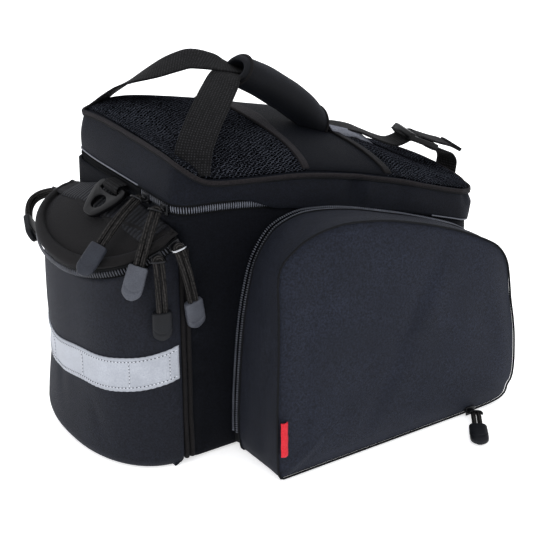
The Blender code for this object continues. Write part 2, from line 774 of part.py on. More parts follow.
def build_d_ring():
    down = Vector((-math.cos(RING_DROP_ANGLE), 0.0, -math.sin(RING_DROP_ANGLE)))
    side = Vector((0.0, 1.0, 0.0))
    up = Vector((-math.sin(RING_DROP_ANGLE), 0.0, math.cos(RING_DROP_ANGLE)))
    thick = RING_THICKNESS / 2

    def place(u, v, w):
        return RING_BAR + side * u + down * v + up * w

    outline = []
    for u, v in (
        (0.80, -0.062),
        (0.96, 0.02),
        (1.00, 0.14),
        (0.94, 0.34),
        (0.70, 0.66),
        (0.44, 0.92),
        (0.22, 1.00),
    ):
        outline.append((u * RING_HALF_WIDTH, v * RING_DEPTH))
    outline += [(-u, v) for u, v in reversed(outline)]
    low = [place(u, v, -thick) for u, v in outline]
    high = [place(u, v, thick) for u, v in outline]
    ring = loft("d_ring", [low, high], PLASTIC_FINISH)

    slot_low, slot_high = RING_BAR_HALF, RING_BAR_HALF + 0.0052
    slot_half = RING_HALF_WIDTH * 0.66
    corners = [(-slot_half, slot_low), (slot_half, slot_low), (slot_half, slot_high), (-slot_half, slot_high)]
    slot = loft(
        "ring_slot",
        [[place(u, v, -0.01) for u, v in corners], [place(u, v, 0.01) for u, v in corners]],
        PLASTIC_FINISH,
    )
    cut(ring, slot)
    oval = []
    for k in range(20):
        turn = math.tau * k / 20
        wide = 0.0095 if math.sin(turn) < 0 else 0.0085
        oval.append((wide * math.cos(turn), 0.0178 + 0.0068 * math.sin(turn)))
    hole = loft(
        "ring_hole",
        [[place(u, v, -0.01) for u, v in oval], [place(u, v, 0.01) for u, v in oval]],
        PLASTIC_FINISH,
    )
    cut(ring, hole)

    path = [Vector((REAR_X - 0.0013, RING_BAR.y, RING_BAR.z + 0.0040))]
    path.append(Vector((RING_BAR.x + 0.0022, RING_BAR.y, RING_BAR.z + LOOP_RADIUS)))
    for k in range(9):
        turn = math.radians(90 + 180 * k / 8)
        path.append(RING_BAR + Vector((LOOP_RADIUS * math.cos(turn), 0.0, LOOP_RADIUS * math.sin(turn))))
    path.append(Vector((REAR_X - 0.0013, RING_BAR.y, RING_BAR.z - 0.0010)))
    ribbon("d_ring_loop", path, Vector((0.0, 1.0, 0.0)), LOOP_WIDTH, LOOP_THICKNESS, TRIM_FINISH)


def table_loop(rows, base):
    """A pocket outline as (x, z) pairs above a base height, softened but for its lower rear corner."""
    points = []
    for row in rows:
        x = POCKET_REAR_X + POCKET_LENGTH * row["along"]
        points.append((x, base + (POCKET_HEIGHT - base) * row["up"]))
    soft = []
    for i, (x, z) in enumerate(points):
        nx, nz = points[(i + 1) % len(points)]
        soft.append((x * 0.80 + nx * 0.20, z * 0.80 + nz * 0.20))
        soft.append((x * 0.20 + nx * 0.80, z * 0.20 + nz * 0.80))
    lengths = [0.0]
    for i in range(len(soft)):
        ax, az = soft[i]
        bx, bz = soft[(i + 1) % len(soft)]
        lengths.append(lengths[-1] + math.hypot(bx - ax, bz - az))
    xs = [p[0] for p in soft] + [soft[0][0]]
    zs = [p[1] for p in soft] + [soft[0][1]]
    marks = np.linspace(0.0, lengths[-1], POCKET_POINTS, endpoint=False)
    loop = list(zip(np.interp(marks, lengths, xs), np.interp(marks, lengths, zs)))
    loop[0] = points[0]
    return loop


def build_side_pocket(suffix, sign):
    """A side pocket on one long side: sign is -1 for the near side, 1 for the far one."""
    back = table_loop(BACK_OUTLINE, 2 * GAP)
    front = table_loop(FRONT_OUTLINE, PIPING_RADIUS + GAP)
    back_y = HALF_WIDTH + GAP

    def front_y(z):
        return HALF_WIDTH + POCKET_DEPTH - POCKET_LEAN * (z / POCKET_HEIGHT) ** 2

    def ring(share, outset):
        loop = []
        for (bx, bz), (fx, fz) in zip(back, front):
            loop.append((bx + (fx - bx) * share, bz + (fz - bz) * share))
        bulge = POCKET_BULGE * share * (1 - share) + outset
        loop = clockwise_offset(loop, bulge)
        made = []
        for (x, z), (_, fz) in zip(loop, front):
            y = back_y + (front_y(fz) - back_y) * share
            made.append(Vector((x, sign * y, max(z, 0.0004))))
        return made

    def wall(name, shares, outset, thickness, finish):
        outer = [ring(share, outset) for share in shares]
        inner = [ring(share, outset - thickness) for share in reversed(shares)]
        return loft(name, outer + inner, finish, closed=True)

    def strip(name, shares, span):
        """A part of the gusset between two of its points, its ends kept a gap clear of them."""
        loops = [ring(share, 0.0) for share in shares]
        loops += [ring(share, -POCKET_WALL) for share in reversed(shares)]
        sections = [[loop[i % POCKET_POINTS] for loop in loops] for i in span]
        for end, beside in ((0, 1), (-1, -2)):
            pairs = zip(sections[end], sections[beside])
            sections[end] = [p + (q - p).normalized() * GAP for p, q in pairs]
        loft(name, sections, CLOTH_FINISH)

    step = GAP / POCKET_DEPTH
    wall(f"side_zip_{suffix}", (0.0, SIDE_ZIP_SHARE), 0.0, ZIP_THICKNESS, ZIP_FINISH)
    end = 1 - (PIPING_RADIUS + GAP) / (POCKET_DEPTH - POCKET_LEAN)
    shares = [SIDE_ZIP_SHARE + step + (end - SIDE_ZIP_SHARE - step) * k / 3 for k in range(4)]
    corner = BASE_FRONT_POINT
    strip(f"side_gusset_{suffix}", shares, range(0, corner + 1))
    strip(f"side_base_{suffix}", shares, range(corner, POCKET_POINTS + 1))

    path = [Vector((x, sign * front_y(z), z)) for x, z in front]
    ring_tube(f"side_piping_{suffix}", path, PIPING_RADIUS, TRIM_FINISH)

    rows = (
        (0.0032, -0.0020),
        (0.0032, 0.0010),
        (0.0060, 0.0022),
        (0.0160, 0.42 * PANEL_PUFF),
        (0.0340, 0.80 * PANEL_PUFF),
    )
    rings = []
    for inset, out in rows:
        loop = clockwise_offset(front, -inset)
        rings.append([Vector((x, sign * (front_y(z) + out), z)) for x, z in loop])
    for share, out in ((0.62, 0.95), (0.30, 1.0)):
        loop = shrunk_loop(clockwise_offset(front, -0.034), share)
        rings.append([Vector((x, sign * (front_y(z) + out * PANEL_PUFF), z)) for x, z in loop])
    loft(f"side_panel_{suffix}", rings, CLOTH_FINISH, domed=True)


def clockwise_offset(loop, distance):
    """Like offset_loop for the pocket outlines, which run clockwise from their lower rear corner."""
    return list(reversed(offset_loop(list(reversed(loop)), distance)))


def build_label():
    x = POCKET_REAR_X + LABEL_INSET
    low = []
    for along, z in ((0.0, 0.0), (1.0, 0.0), (1.0, 1.0), (0.0, 1.0)):
        height = LABEL_LOW + LABEL_HEIGHT * z
        y = HALF_WIDTH + POCKET_DEPTH - POCKET_LEAN * (height / POCKET_HEIGHT) ** 2 + LABEL_LIFT
        low.append(Vector((x + LABEL_WIDTH * along, -y, height)))
    high = [p + Vector((0.0, -LABEL_THICKNESS, 0.0)) for p in low]
    loft("label_tab", [low, high], LABEL_FINISH)


# Zip pulls: the zip each slider is on and its share along it, how far the tip's end hangs from the
# slider in metres, and how far the cord bows away from the bag. On the end zip the share counts
# out from the body, on the main zip across the rear, and on a side pocket along its length.
PULLS = [
    {"name": "a", "zip": "end", "side": 1, "share": 0.180, "hang": (-0.0470, -0.0037, -0.0445), "bow": 0.016},
    {"name": "b", "zip": "main", "side": -1, "share": 0.495, "hang": (-0.0630, -0.0110, -0.0325), "bow": 0.006},
    {"name": "c", "zip": "main", "side": -1, "share": 0.779, "hang": (-0.0470, -0.0350, -0.0585), "bow": 0.016},
    {"name": "d", "zip": "end", "side": -1, "share": 0.273, "hang": (-0.0010, -0.0094, -0.0755), "bow": 0.006},
    {"name": "e", "zip": "end", "side": -1, "share": 0.048, "hang": (0.0205, -0.0089, -0.0765), "bow": 0.006},
    {"name": "f", "zip": "side", "side": -1, "share": 0.828, "hang": (-0.0290, -0.0467, -0.0007), "bow": 0.0},
    {"name": "g", "zip": "side", "side": 1, "share": 0.828, "hang": (-0.0290, 0.0467, -0.0007), "bow": 0.0},
]


def slider_seat(row):
    """The point of the chain under a slider, the chain's outward side there, and its run."""
    side = row["side"]
    if row["zip"] == "main":
        y = side * HALF_WIDTH * row["share"]
        seat = Vector((REAR_X, y, zip_height(REAR_X) - 0.0015))
        return seat, Vector((-1.0, 0.0, 0.0)), Vector((0.0, 1.0, 0.0))
    if row["zip"] == "side":
        y = side * (HALF_WIDTH + POCKET_DEPTH + PIPING_RADIUS + GAP / 3)
        seat = Vector((POCKET_REAR_X + POCKET_LENGTH * row["share"], y, SLIDER_WIDTH / 2 + GAP))
        return seat, Vector((0.0, side, 0.0)), Vector((1.0, 0.0, 0.0))
    out = row["share"]
    wide = (1 - out**BARREL_POWER) ** (1 / BARREL_POWER)
    x = REAR_X - POCKET_GAP - BARREL_DEPTH * out
    y = side * (BARREL_HALF_WIDTH * wide + GAP / 2)
    steep = out ** (BARREL_POWER - 1) / BARREL_DEPTH
    level = wide ** (BARREL_POWER - 1) / BARREL_HALF_WIDTH
    normal = Vector((-steep, side * level, 0.0)).normalized()
    run = Vector((-abs(normal.y), side * normal.x, -RIM_SLOPE * abs(normal.y)))
    return Vector((x, y, rim_height(x, y) - END_ZIP_CHAIN / 2 - GAP)), normal, run


def build_pull(row):
    seat, normal, run = slider_seat(row)
    run.normalize()
    stop = seat + Vector(row["hang"])
    clear = SLIDER_THICKNESS + STRAND_RADIUS + 2 * GAP
    lead = (stop - seat - normal * clear).normalized()
    setting_off = (lead * 0.45 * (stop - seat).length + normal * row["bow"]).normalized()
    begin = seat + normal * (clear + max(setting_off.dot(normal), 0.0) * STRAND_SPACING / 2)
    lead = (stop - begin).normalized()
    flat = abs(normal.z) < 0.1 and abs(lead.z) < 0.1
    face = Vector((0.0, 0.0, 1.0)) if flat else normal
    across = lead.cross(face).normalized()
    face = across.cross(lead).normalized()
    if face.dot(normal) < 0 and not flat:
        face = -face
    if flat and face.z < 0:
        face = -face
    cord_end = stop - lead * TIP_LENGTH
    control = begin.lerp(cord_end, 0.45) + face * row["bow"]
    middle = []
    steps = 5
    for i in range(steps + 1):
        t = i / steps
        middle.append(begin * (1 - t) ** 2 + control * 2 * t * (1 - t) + cord_end * t**2)
    half = across * STRAND_SPACING / 2
    first = [p + half for p in reversed(middle)]
    back_turn = []
    toward = (middle[0] - middle[1]).normalized()
    for k in range(1, 5):
        turn = math.pi * k / 5
        back_turn.append(middle[0] + half * math.cos(turn) + toward * STRAND_SPACING / 2 * math.sin(turn))
    second = [p - half for p in middle]
    cord(f"cord_{row['name']}", first + back_turn + second, STRAND_RADIUS, CORD_FINISH)

    heading = (cord_end - middle[-2]).normalized()
    heading = lead if heading.dot(lead) < 0.5 else heading
    up = across.cross(heading).normalized()
    sections = (
        (0.0004, 0.92, 0.80),
        (0.0020, 1.00, 1.00),
        (0.50, 1.04, 1.00),
        (0.82, 0.98, 0.82),
        (0.96, 0.66, 0.55),
        (1.00, 0.34, 0.40),
    )
    rings = []
    for place, wide, thick in sections:
        distance = place if place < 0.01 else place * TIP_LENGTH
        centre = cord_end + heading * (distance + 0.0003)
        ring = []
        for k in range(10):
            turn = math.tau * (k + 0.5) / 10
            u = math.copysign(abs(math.cos(turn)) ** 0.6, math.cos(turn)) * TIP_WIDTH / 2 * wide
            v = math.copysign(abs(math.sin(turn)) ** 0.6, math.sin(turn)) * TIP_THICKNESS / 2 * thick
            ring.append(centre + across * u + up * v)
        rings.append(ring)
    loft(f"tip_{row['name']}", rings, TIP_FINISH)

    wide = run.cross(normal).normalized()
    corners = []
    for w in (GAP, SLIDER_THICKNESS):
        for u, v in ((-1, -0.8), (1, -1), (1, 1), (-1, 0.8)):
            corner = seat + run * u * SLIDER_LENGTH / 2 + wide * v * SLIDER_WIDTH / 2
            corners.append(corner + normal * w)
    loft(f"slider_{row['name']}", [corners[:4], corners[4:]], METAL_FINISH)


CLOTH_FINISH = material("nylon_cloth", "24262c", 0.75)
MESH_FINISH = material("mesh", "17181b", 0.85)
TRIM_FINISH = material("webbing_trim", "1b1a1b", 0.80)
ZIP_FINISH = material("zip_chain", "232427", 0.50)
PLASTIC_FINISH = material("black_plastic", "17181b", 0.40)
REFLECTOR_FINISH = material("reflector", "b9bcc4", 0.35)
CORD_FINISH = material("pull_cord", "2b2b2e", 0.80)
TIP_FINISH = material("grey_tip", "5a5d67", 0.50)
METAL_FINISH = material("slider_metal", "2a2b2f", 0.35, 0.8)
LABEL_FINISH = material("red_label", "d8333b", 0.65)

body_outline = build_main_compartment()
build_lid(body_outline)
build_lid_panels()
build_handle()
build_buckle()
build_end_pocket()
build_d_ring()
build_side_pocket("near", -1)
build_side_pocket("far", 1)
build_label()
for pull in PULLS:
    build_pull(pull)
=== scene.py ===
# %% [markdown]
# # A trunk bag for a bicycle rack
#
# The real thing is a soft bag of black nylon: a padded tub with a zipped, domed lid, a barrel
# pocket at its rear end and a flat padded pocket on each long side. This lesson dresses the
# fixed model of that bag: every cell makes one piece, or one finish, and says why it is made so.
# All sizes are in metres. +X is the front end, -Y the near long side, and the base is at z = 0.

import math

import bpy
import numpy as np
from mathutils import Matrix, Vector, noise


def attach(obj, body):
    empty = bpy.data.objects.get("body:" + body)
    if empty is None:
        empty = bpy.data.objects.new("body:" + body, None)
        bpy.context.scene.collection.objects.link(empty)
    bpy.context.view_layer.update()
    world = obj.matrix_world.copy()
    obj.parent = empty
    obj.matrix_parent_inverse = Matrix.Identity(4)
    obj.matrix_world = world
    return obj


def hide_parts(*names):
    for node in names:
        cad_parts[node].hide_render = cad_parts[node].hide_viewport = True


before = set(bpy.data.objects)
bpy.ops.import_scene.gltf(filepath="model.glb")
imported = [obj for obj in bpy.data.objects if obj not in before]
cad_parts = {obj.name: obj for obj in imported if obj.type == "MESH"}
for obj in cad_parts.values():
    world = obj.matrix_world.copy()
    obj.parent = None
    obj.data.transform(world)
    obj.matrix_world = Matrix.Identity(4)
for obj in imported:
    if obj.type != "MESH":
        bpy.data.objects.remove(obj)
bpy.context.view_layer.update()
bpy.ops.object.select_all(action="DESELECT")

# %% [markdown]
# ## Camera, floor and light
#
# The camera comes first, because everything is judged through it. Its place was solved from the
# bag's straight edges: a longer lens than normal, looking down by about 23 degrees. The light is
# a plain soft studio: one large panel above and behind, one on each side, and a pale sky that
# fills the shadows, because black cloth only shows its shape by soft broad highlights.

# %% Camera
bpy.ops.object.camera_add(location=(-0.526, -0.848, 0.550))
camera = bpy.context.object
camera.rotation_euler = Vector((0.4985, 0.7699, -0.3984)).to_track_quat("-Z", "Y").to_euler()
camera.data.sensor_width = 36.0
camera.data.lens = 80.33
camera.data.clip_start = 0.05
bpy.context.scene.camera = camera
print("lens:", camera.data.lens, "mm")


# %% A helper that turns sRGB hex into linear colour, and one that adds a node
def hex_colour(text):
    """'23252b' as a linear RGBA tuple."""
    linear = []
    for i in (0, 2, 4):
        share = int(text[i : i + 2], 16) / 255
        linear.append(share / 12.92 if share <= 0.04045 else ((share + 0.055) / 1.055) ** 2.4)
    return (*linear, 1.0)


def add(tree, kind, inputs=None, **settings):
    """Adds a node. Settings are its own properties; inputs are values or the sockets to link."""
    node = tree.nodes.new(kind)
    for name, value in settings.items():
        setattr(node, name, value)
    for key, value in (inputs or {}).items():
        if isinstance(value, bpy.types.NodeSocket):
            tree.links.new(value, node.inputs[key])
        else:
            node.inputs[key].default_value = value
    return node


# %% Sky and floor
def set_inputs(node, values):
    for socket, value in values.items():
        node.inputs[socket].default_value = value


world = bpy.data.worlds.new("studio_sky")
bpy.context.scene.world = world
world.use_nodes = True
set_inputs(world.node_tree.nodes["Background"], {"Color": hex_colour("fafbff"), "Strength": 1.0})

bpy.ops.mesh.primitive_plane_add(size=14.0, location=(0.0, 0.0, -0.0004))
floor = bpy.context.object
floor.name = "floor"
paper = bpy.data.materials.new("white_paper_floor")
paper.use_nodes = True
set_inputs(
    paper.node_tree.nodes["Principled BSDF"],
    {
        "Base Color": hex_colour("fbfbfb"),
        "Roughness": 0.9,
        "Emission Color": hex_colour("ffffff"),
        "Emission Strength": 0.55,
    },
)
floor.data.materials.append(paper)

# %% Soft boxes
SOFT_BOXES = [
    {"name": "top_panel", "at": (0.1, 0.4, 2.2), "size": 2.2, "watts": 13.0},
    {"name": "left_panel", "at": (-2.0, -0.6, 1.1), "size": 1.6, "watts": 12.0},
    {"name": "front_panel", "at": (0.7, -2.2, 1.0), "size": 1.8, "watts": 9.0},
]
for row in SOFT_BOXES:
    bpy.ops.object.light_add(type="AREA", location=row["at"])
    lamp = bpy.context.object
    lamp.name = row["name"]
    lamp.data.shape = "SQUARE"
    lamp.data.size = row["size"]
    lamp.data.energy = row["watts"]
    toward = Vector((0.02, 0.0, 0.13)) - lamp.location
    lamp.rotation_euler = toward.to_track_quat("-Z", "Y").to_euler()
bpy.context.scene.view_settings.view_transform = "Standard"
print("soft boxes:", len(SOFT_BOXES))

# %% [markdown]
# ## Finishes
#
# Almost everything here is thread. Black nylon is never flat black: each thread catches a little
# light along its back, and dust and fuzz add a faint bluish sheen. So one recipe serves all the
# woven finishes: a pattern drawn in the piece's own UV map, which is laid out in metres, lifts the
# threads and lightens their backs, and a soft cloud of noise keeps large areas from looking
# printed. Only the thread spacing, the colours and the kind of weave change.


# %% What the recipes share
def maths(tree, operation, *values, **settings):
    """The result of a Math node on numbers or sockets."""
    return add(tree, "ShaderNodeMath", dict(enumerate(values)), operation=operation, **settings).outputs[0]


def shifted(tree, operation, one, two):
    """The result of a vector Math node."""
    return add(tree, "ShaderNodeVectorMath", {0: one, 1: two}, operation=operation).outputs[0]


def spread(tree, value, low, high, **settings):
    """A value carried from low and high to 0 and 1."""
    return add(tree, "ShaderNodeMapRange", {0: value, 1: low, 2: high}, **settings).outputs[0]


def noise_node(tree, place, scale, detail):
    return add(tree, "ShaderNodeTexNoise", {"Vector": place, "Scale": scale, "Detail": detail})


def start_finish(name, values):
    """A new material, with its shader's constant values set."""
    made = bpy.data.materials.new(name)
    made.use_nodes = True
    shader = made.node_tree.nodes["Principled BSDF"]
    set_inputs(shader, values)
    return made, made.node_tree, shader


def end_finish(tree, shader, dark, light, share, height, relief, depth):
    """Blends two colours by a share, and raises the surface by a height."""
    ends = {0: share, 6: hex_colour(dark), 7: hex_colour(light)}
    colour = add(tree, "ShaderNodeMix", ends, data_type="RGBA")
    tree.links.new(colour.outputs[2], shader.inputs["Base Color"])
    bump = add(tree, "ShaderNodeBump", {"Height": height, "Strength": relief, "Distance": depth})
    tree.links.new(bump.outputs[0], shader.inputs["Normal"])


# %% One recipe for woven finishes
def woven(name, dark, light, pitch, weave, roughness, sheen, relief, cloud, lift=0.6, shine=0.14):
    """A woven finish. Pitch is the thread spacing in mm along and across; weave is its kind."""
    values = {"Roughness": roughness, "Sheen Weight": sheen, "Sheen Roughness": 0.45}
    values |= {"Specular IOR Level": shine, "Sheen Tint": hex_colour("b4bfe0")}
    made, tree, shader = start_finish(name, values)
    laid = add(tree, "ShaderNodeUVMap", uv_map="UVMap").outputs[0]
    if weave == "net":
        # Net never lies straight: its cells are pulled about by a millimetre or so
        pull = noise_node(tree, laid, 210.0, 1.0).outputs["Color"]
        shift = shifted(tree, "SUBTRACT", pull, (0.5, 0.5, 0.5))
        slack = shifted(tree, "MULTIPLY", shift, (0.0036, 0.0036, 0.0))
        laid = shifted(tree, "ADD", laid, slack)
    split = add(tree, "ShaderNodeSeparateXYZ", {0: laid}).outputs
    along, across = (maths(tree, "MULTIPLY", split[k], math.tau / (pitch[k] * 0.001)) for k in (0, 1))
    if weave == "net":
        # Two slanting sets of threads; their crossings are the knots, and holes lie between
        one, two = (maths(tree, "SINE", maths(tree, way, along, across)) for way in ("ADD", "SUBTRACT"))
        height = spread(tree, maths(tree, "MAXIMUM", one, two), 0.66, 1.0, interpolation_type="SMOOTHSTEP")
    elif weave == "slant":
        height = spread(tree, maths(tree, "SINE", maths(tree, "ADD", along, across)), -1.0, 1.0)
    elif weave == "rib":
        height = spread(tree, maths(tree, "SINE", across), -1.0, 1.0)
    else:
        warp, weft = maths(tree, "SINE", along), maths(tree, "SINE", across)
        if weave == "grid":
            height = spread(tree, maths(tree, "MINIMUM", warp, weft), -0.7, 0.6)
        else:
            height = spread(tree, maths(tree, "MULTIPLY", warp, weft), -1.0, 1.0)
    place = add(tree, "ShaderNodeTexCoord").outputs["Object"]
    fuzz = noise_node(tree, place, 620.0, 3.0).outputs[0]
    clouds = noise_node(tree, place, 26.0, 2.0).outputs[0]
    mottle = maths(tree, "MULTIPLY_ADD", clouds, cloud, 0.5 - cloud / 2)
    grain = maths(tree, "MULTIPLY", height, spread(tree, fuzz, 0.34, 0.66))
    shade = maths(tree, "MULTIPLY", grain, 2.0 * lift)
    blend = maths(tree, "MULTIPLY", shade, mottle, use_clamp=True)
    uneven = maths(tree, "MULTIPLY_ADD", fuzz, 0.35, height)
    end_finish(tree, shader, dark, light, blend, uneven, relief, 0.0005)
    return made


# %% [markdown]
# The main cloth is coated 600-denier nylon. Its real threads are about 0.45 mm apart, finer than
# the picture can show, so the weave is drawn at 0.9 mm. The tub and the lid's plain panel take a
# darker copy of it, which is painted shade, the lid a slightly darker one, also painted shade, and
# the pocket faces a lighter one, which is painted light. The mesh on the lid is a warp-knit net
# with cells near 3 mm, the webbing is a coarse flat weave, and the bindings are ribbed tape that
# has faded to a brownish black.

# %% Woven finishes
FINE = (0.9, 0.9)
NYLON = woven("nylon_600_denier", "090b11", "272b38", FINE, "plain", 0.70, 0.03, 0.45, 0.6)
# Painted shade: a darker copy of the nylon for the tub and the lid's plain panel.
NYLON_SHADE = woven("nylon_600_denier_painted_shade", "050609", "171a22", FINE, "plain", 0.74, 0.01, 0.40, 0.6, shine=0.06)
# Painted shade: a darker copy of the nylon for the lid.
NYLON_LID_SHADE = woven("nylon_600_denier_lid_painted_shade", "07090e", "1d212e", FINE, "plain", 0.72, 0.02, 0.45, 0.6, shine=0.10)
# Painted light: a lighter copy of the nylon for the pocket faces.
NYLON_FACE_LIT = woven("nylon_600_denier_face_painted_light", "0d1018", "303648", FINE, "plain", 0.70, 0.03, 0.45, 0.6)
# Painted shade: a near-black copy of the nylon standing in for the shade along the pocket's seams.
NYLON_FOLD_SHADE = woven("nylon_painted_fold_shade", "07080b", "14161b", FINE, "plain", 0.80, 0.01, 0.30, 0.5)
PANEL_CLOTH = woven("faded_nylon", "0a0909", "1a1819", FINE, "plain", 0.80, 0.02, 0.30, 0.6)
NET = woven("warp_knit_net", "030304", "41444c", (5.0, 3.4), "net", 0.78, 0.0, 1.0, 1.3, 1.7, shine=0.0)
WEBBING = woven("flat_webbing", "030304", "272729", (2.3, 2.6), "grid", 0.8, 0.0, 1.0, 0.3, 1.5)
RIBBED = woven("ribbed_webbing", "060608", "26282e", (1.2, 5.2), "rib", 0.7, 0.02, 1.0, 0.3, 0.9)
BINDING = woven("binding_tape", "0b0a0a", "232021", (1.1, 0.9), "plain", 0.82, 0.02, 0.5, 0.4)
TAPE_BROWN = woven("faded_binding_tape", "121012", "2b2728", (1.1, 0.9), "plain", 0.82, 0.02, 0.5, 0.5, 1.0)
NEOPRENE = woven("foam_backed_jersey", "07080b", "171a20", (0.8, 0.8), "slant", 0.75, 0.03, 0.2, 0.6)
CORD = woven("braided_cord", "040404", "302e2d", (1.9, 40.0), "slant", 0.78, 0.0, 1.0, 0.3, 1.6)
ZIP_TAPE = woven("zip_tape", "050607", "101114", (0.9, 1.0), "rib", 0.8, 0.01, 0.5, 0.3)
LABEL_CLOTH = woven("satin_label", "b81e2a", "e03540", (0.8, 0.6), "slant", 0.6, 0.05, 0.3, 0.2, 0.9)
print("woven finishes:", len(bpy.data.materials) - 1)


# %% [markdown]
# Moulded and metal parts: the D-ring and the ladder lock are acetal, moulded black with a fine
# spark-eroded texture; the pull tips are soft grey PVC; zip teeth are glossy nylon filament, drawn in
# greys whose lightness is painted highlight; the slider bails are nickel-plated or lacquered. The
# reflective tape is a film of glass beads, which gives it a flat silver-grey that lightens evenly; a
# darker copy of it is painted shade, and a near-black finish is painted shade for grooves and shadows.


# %% One recipe for moulded, plated and beaded finishes
def moulded(name, dark, light, roughness, metallic=0.0, grit=1.0, relief=0.1, shine=0.5):
    """A moulded finish. Grit is the size of its fine texture in mm; shine is how much it mirrors."""
    made, tree, shader = start_finish(name, {"Metallic": metallic, "Specular IOR Level": shine})
    place = add(tree, "ShaderNodeTexCoord").outputs["Object"]
    fine = noise_node(tree, place, 1000.0 / grit, 2.0).outputs[0]
    broad = noise_node(tree, place, 60.0, 3.0).outputs[0]
    wide = spread(tree, maths(tree, "MULTIPLY", fine, broad), 0.12, 0.42)
    ends = {0: broad, 1: 0.3, 2: 0.7, 3: roughness - 0.06, 4: roughness + 0.08}
    rough = add(tree, "ShaderNodeMapRange", ends)
    tree.links.new(rough.outputs[0], shader.inputs["Roughness"])
    end_finish(tree, shader, dark, light, wide, fine, relief, 0.0003)
    return made


# %% Moulded finishes
ACETAL = moulded("black_acetal", "030304", "08080a", 0.34, grit=0.8, relief=0.12, shine=0.14)
# Painted highlight: a dim grey standing in for the light on black coil, for the end zip and the main zip's near
# rear corner.
COIL_DIM_HIGHLIT = moulded("zip_coil_painted_dim_highlight", "2b2d33", "464952", 0.35, grit=2.0, relief=0.05)
LACQUER = moulded("lacquered_zinc", "0b0c0e", "1a1b1f", 0.30, 0.6, grit=1.0, relief=0.08)
# Painted highlight: a lighter grey for the light on black coil, for the main zip's near side, the pocket zips and
# the skirt's edge cords.
COIL_HIGHLIT = moulded("zip_coil_painted_highlight", "484b54", "686c76", 0.35, grit=2.0, relief=0.05)
NICKEL = moulded("nickel_plate", "9fa1a5", "c9cbcf", 0.22, 1.0, grit=1.5, relief=0.05)
PVC_LIGHT = moulded("soft_pvc_light_grey", "393b42", "484b52", 0.48, grit=1.0, relief=0.15, shine=0.2)
PVC_MID = moulded("soft_pvc_grey", "1f2128", "2b2e35", 0.48, grit=1.0, relief=0.15, shine=0.16)
PVC_DARK = moulded("soft_pvc_dark_grey", "0c0d10", "17191d", 0.48, grit=1.0, relief=0.15, shine=0.14)
BEADED = moulded("glass_bead_tape", "8d9199", "a0a4ac", 0.50, 0.0, grit=1.4, relief=0.2)
THREAD = moulded("grey_thread", "c9ccd3", "e4e6ea", 0.6, grit=0.6, relief=0.1)
# Painted shade: a darker copy of the bead tape, for the reflector on the front strap.
BEADED_SHADE = moulded("glass_bead_tape_painted_shade", "4a4d55", "737681", 0.50, 0.0, grit=1.4, relief=0.2)
# Painted shade: a near-black finish for the groove under the lid's binding, the shaded rear run of the main zip,
# and the shadows beside the tape's stitches.
SHADE_BLACK = moulded("painted_shade_black", "08090a", "141518", 0.7, grit=0.6, relief=0.1, shine=0.1)
print("all finishes:", len(bpy.data.materials))

# %% [markdown]
# ## Tools for cloth
#
# A sewn bag is a set of sheets, so most pieces start as a flat grid primitive whose points are
# carried to where the cloth lies, exactly as a pattern piece is pinned over a form. The grid
# keeps a UV map in metres, so threads stay the same size on every piece. A seam is closed by
# merging doubled points, and Solidify then gives the cloth its thickness.


# %% Selection and operators
def only(obj):
    """Selects one object alone and makes it active."""
    bpy.ops.object.select_all(action="DESELECT")
    obj.select_set(True)
    bpy.context.view_layer.objects.active = obj


def apply_all(obj):
    only(obj)
    for modifier in list(obj.modifiers):
        bpy.ops.object.modifier_apply(modifier=modifier.name)


def settle(obj):
    """Puts an object's place into its mesh, so that it stands at the origin, unturned."""
    only(obj)
    bpy.ops.object.transform_apply(location=True, rotation=True, scale=True)


BAG_MIDDLE = Vector((0.03, 0.0, 0.10))


# %% A pinned sheet
def edit_all(piece, operator, **settings):
    """Runs one mesh operator on all of a piece."""
    only(piece)
    bpy.ops.object.mode_set(mode="EDIT")
    bpy.ops.mesh.select_all(action="SELECT")
    operator(**settings)
    bpy.ops.object.mode_set(mode="OBJECT")


def pin(name, rows, finish, thickness=0.0, inside=BAG_MIDDLE, closed=False):
    """A grid primitive with its points pinned to rows of places. Closed forms get outward faces;
    an open sheet faces away from the point inside, and takes its thickness inwards."""
    count, wide = len(rows), len(rows[0])
    bpy.ops.object.select_all(action="DESELECT")
    bpy.ops.mesh.primitive_grid_add(x_subdivisions=wide - 1, y_subdivisions=count - 1, size=1.0)
    piece = bpy.context.object
    piece.name = name
    piece.location = (0.0, 0.0, 0.0)
    places = np.array([tuple(p) for row in rows for p in row], float)
    grid = places.reshape(count, wide, 3)
    along, up = np.zeros(wide), np.zeros(count)
    runs = np.linalg.norm(np.diff(grid, axis=1), axis=2)
    rises = np.linalg.norm(np.diff(grid, axis=0), axis=2)
    along[1:] = np.cumsum(np.percentile(runs, 75, axis=0))
    up[1:] = np.cumsum(np.percentile(rises, 75, axis=1))
    mesh = piece.data
    mesh.vertices.foreach_set("co", places.ravel())
    corner = np.zeros(len(mesh.loops), int)
    mesh.loops.foreach_get("vertex_index", corner)
    laid = np.stack([along[corner % wide], up[corner // wide]], axis=1)
    mesh.uv_layers[0].data.foreach_set("uv", laid.ravel())
    mesh.update()
    edit_all(piece, bpy.ops.mesh.remove_doubles, threshold=0.00002)
    if closed:
        edit_all(piece, bpy.ops.mesh.normals_make_consistent, inside=False)
    elif sum((Vector(f.center) - inside).dot(f.normal) * f.area for f in mesh.polygons) < 0:
        edit_all(piece, bpy.ops.mesh.flip_normals)
    bpy.ops.object.shade_smooth()
    mesh.materials.append(finish)
    if thickness:
        thick = piece.modifiers.new("Thickness", "SOLIDIFY")
        thick.thickness = thickness
        thick.offset = -1.0
        thick.use_even_offset = False
    apply_all(piece)
    return piece


# %% A smooth line through points, and a section swept along it
def travelled(line):
    """The length travelled at each place of an array."""
    return np.concatenate([[0.0], np.cumsum(np.linalg.norm(np.diff(line, axis=0), axis=1))])


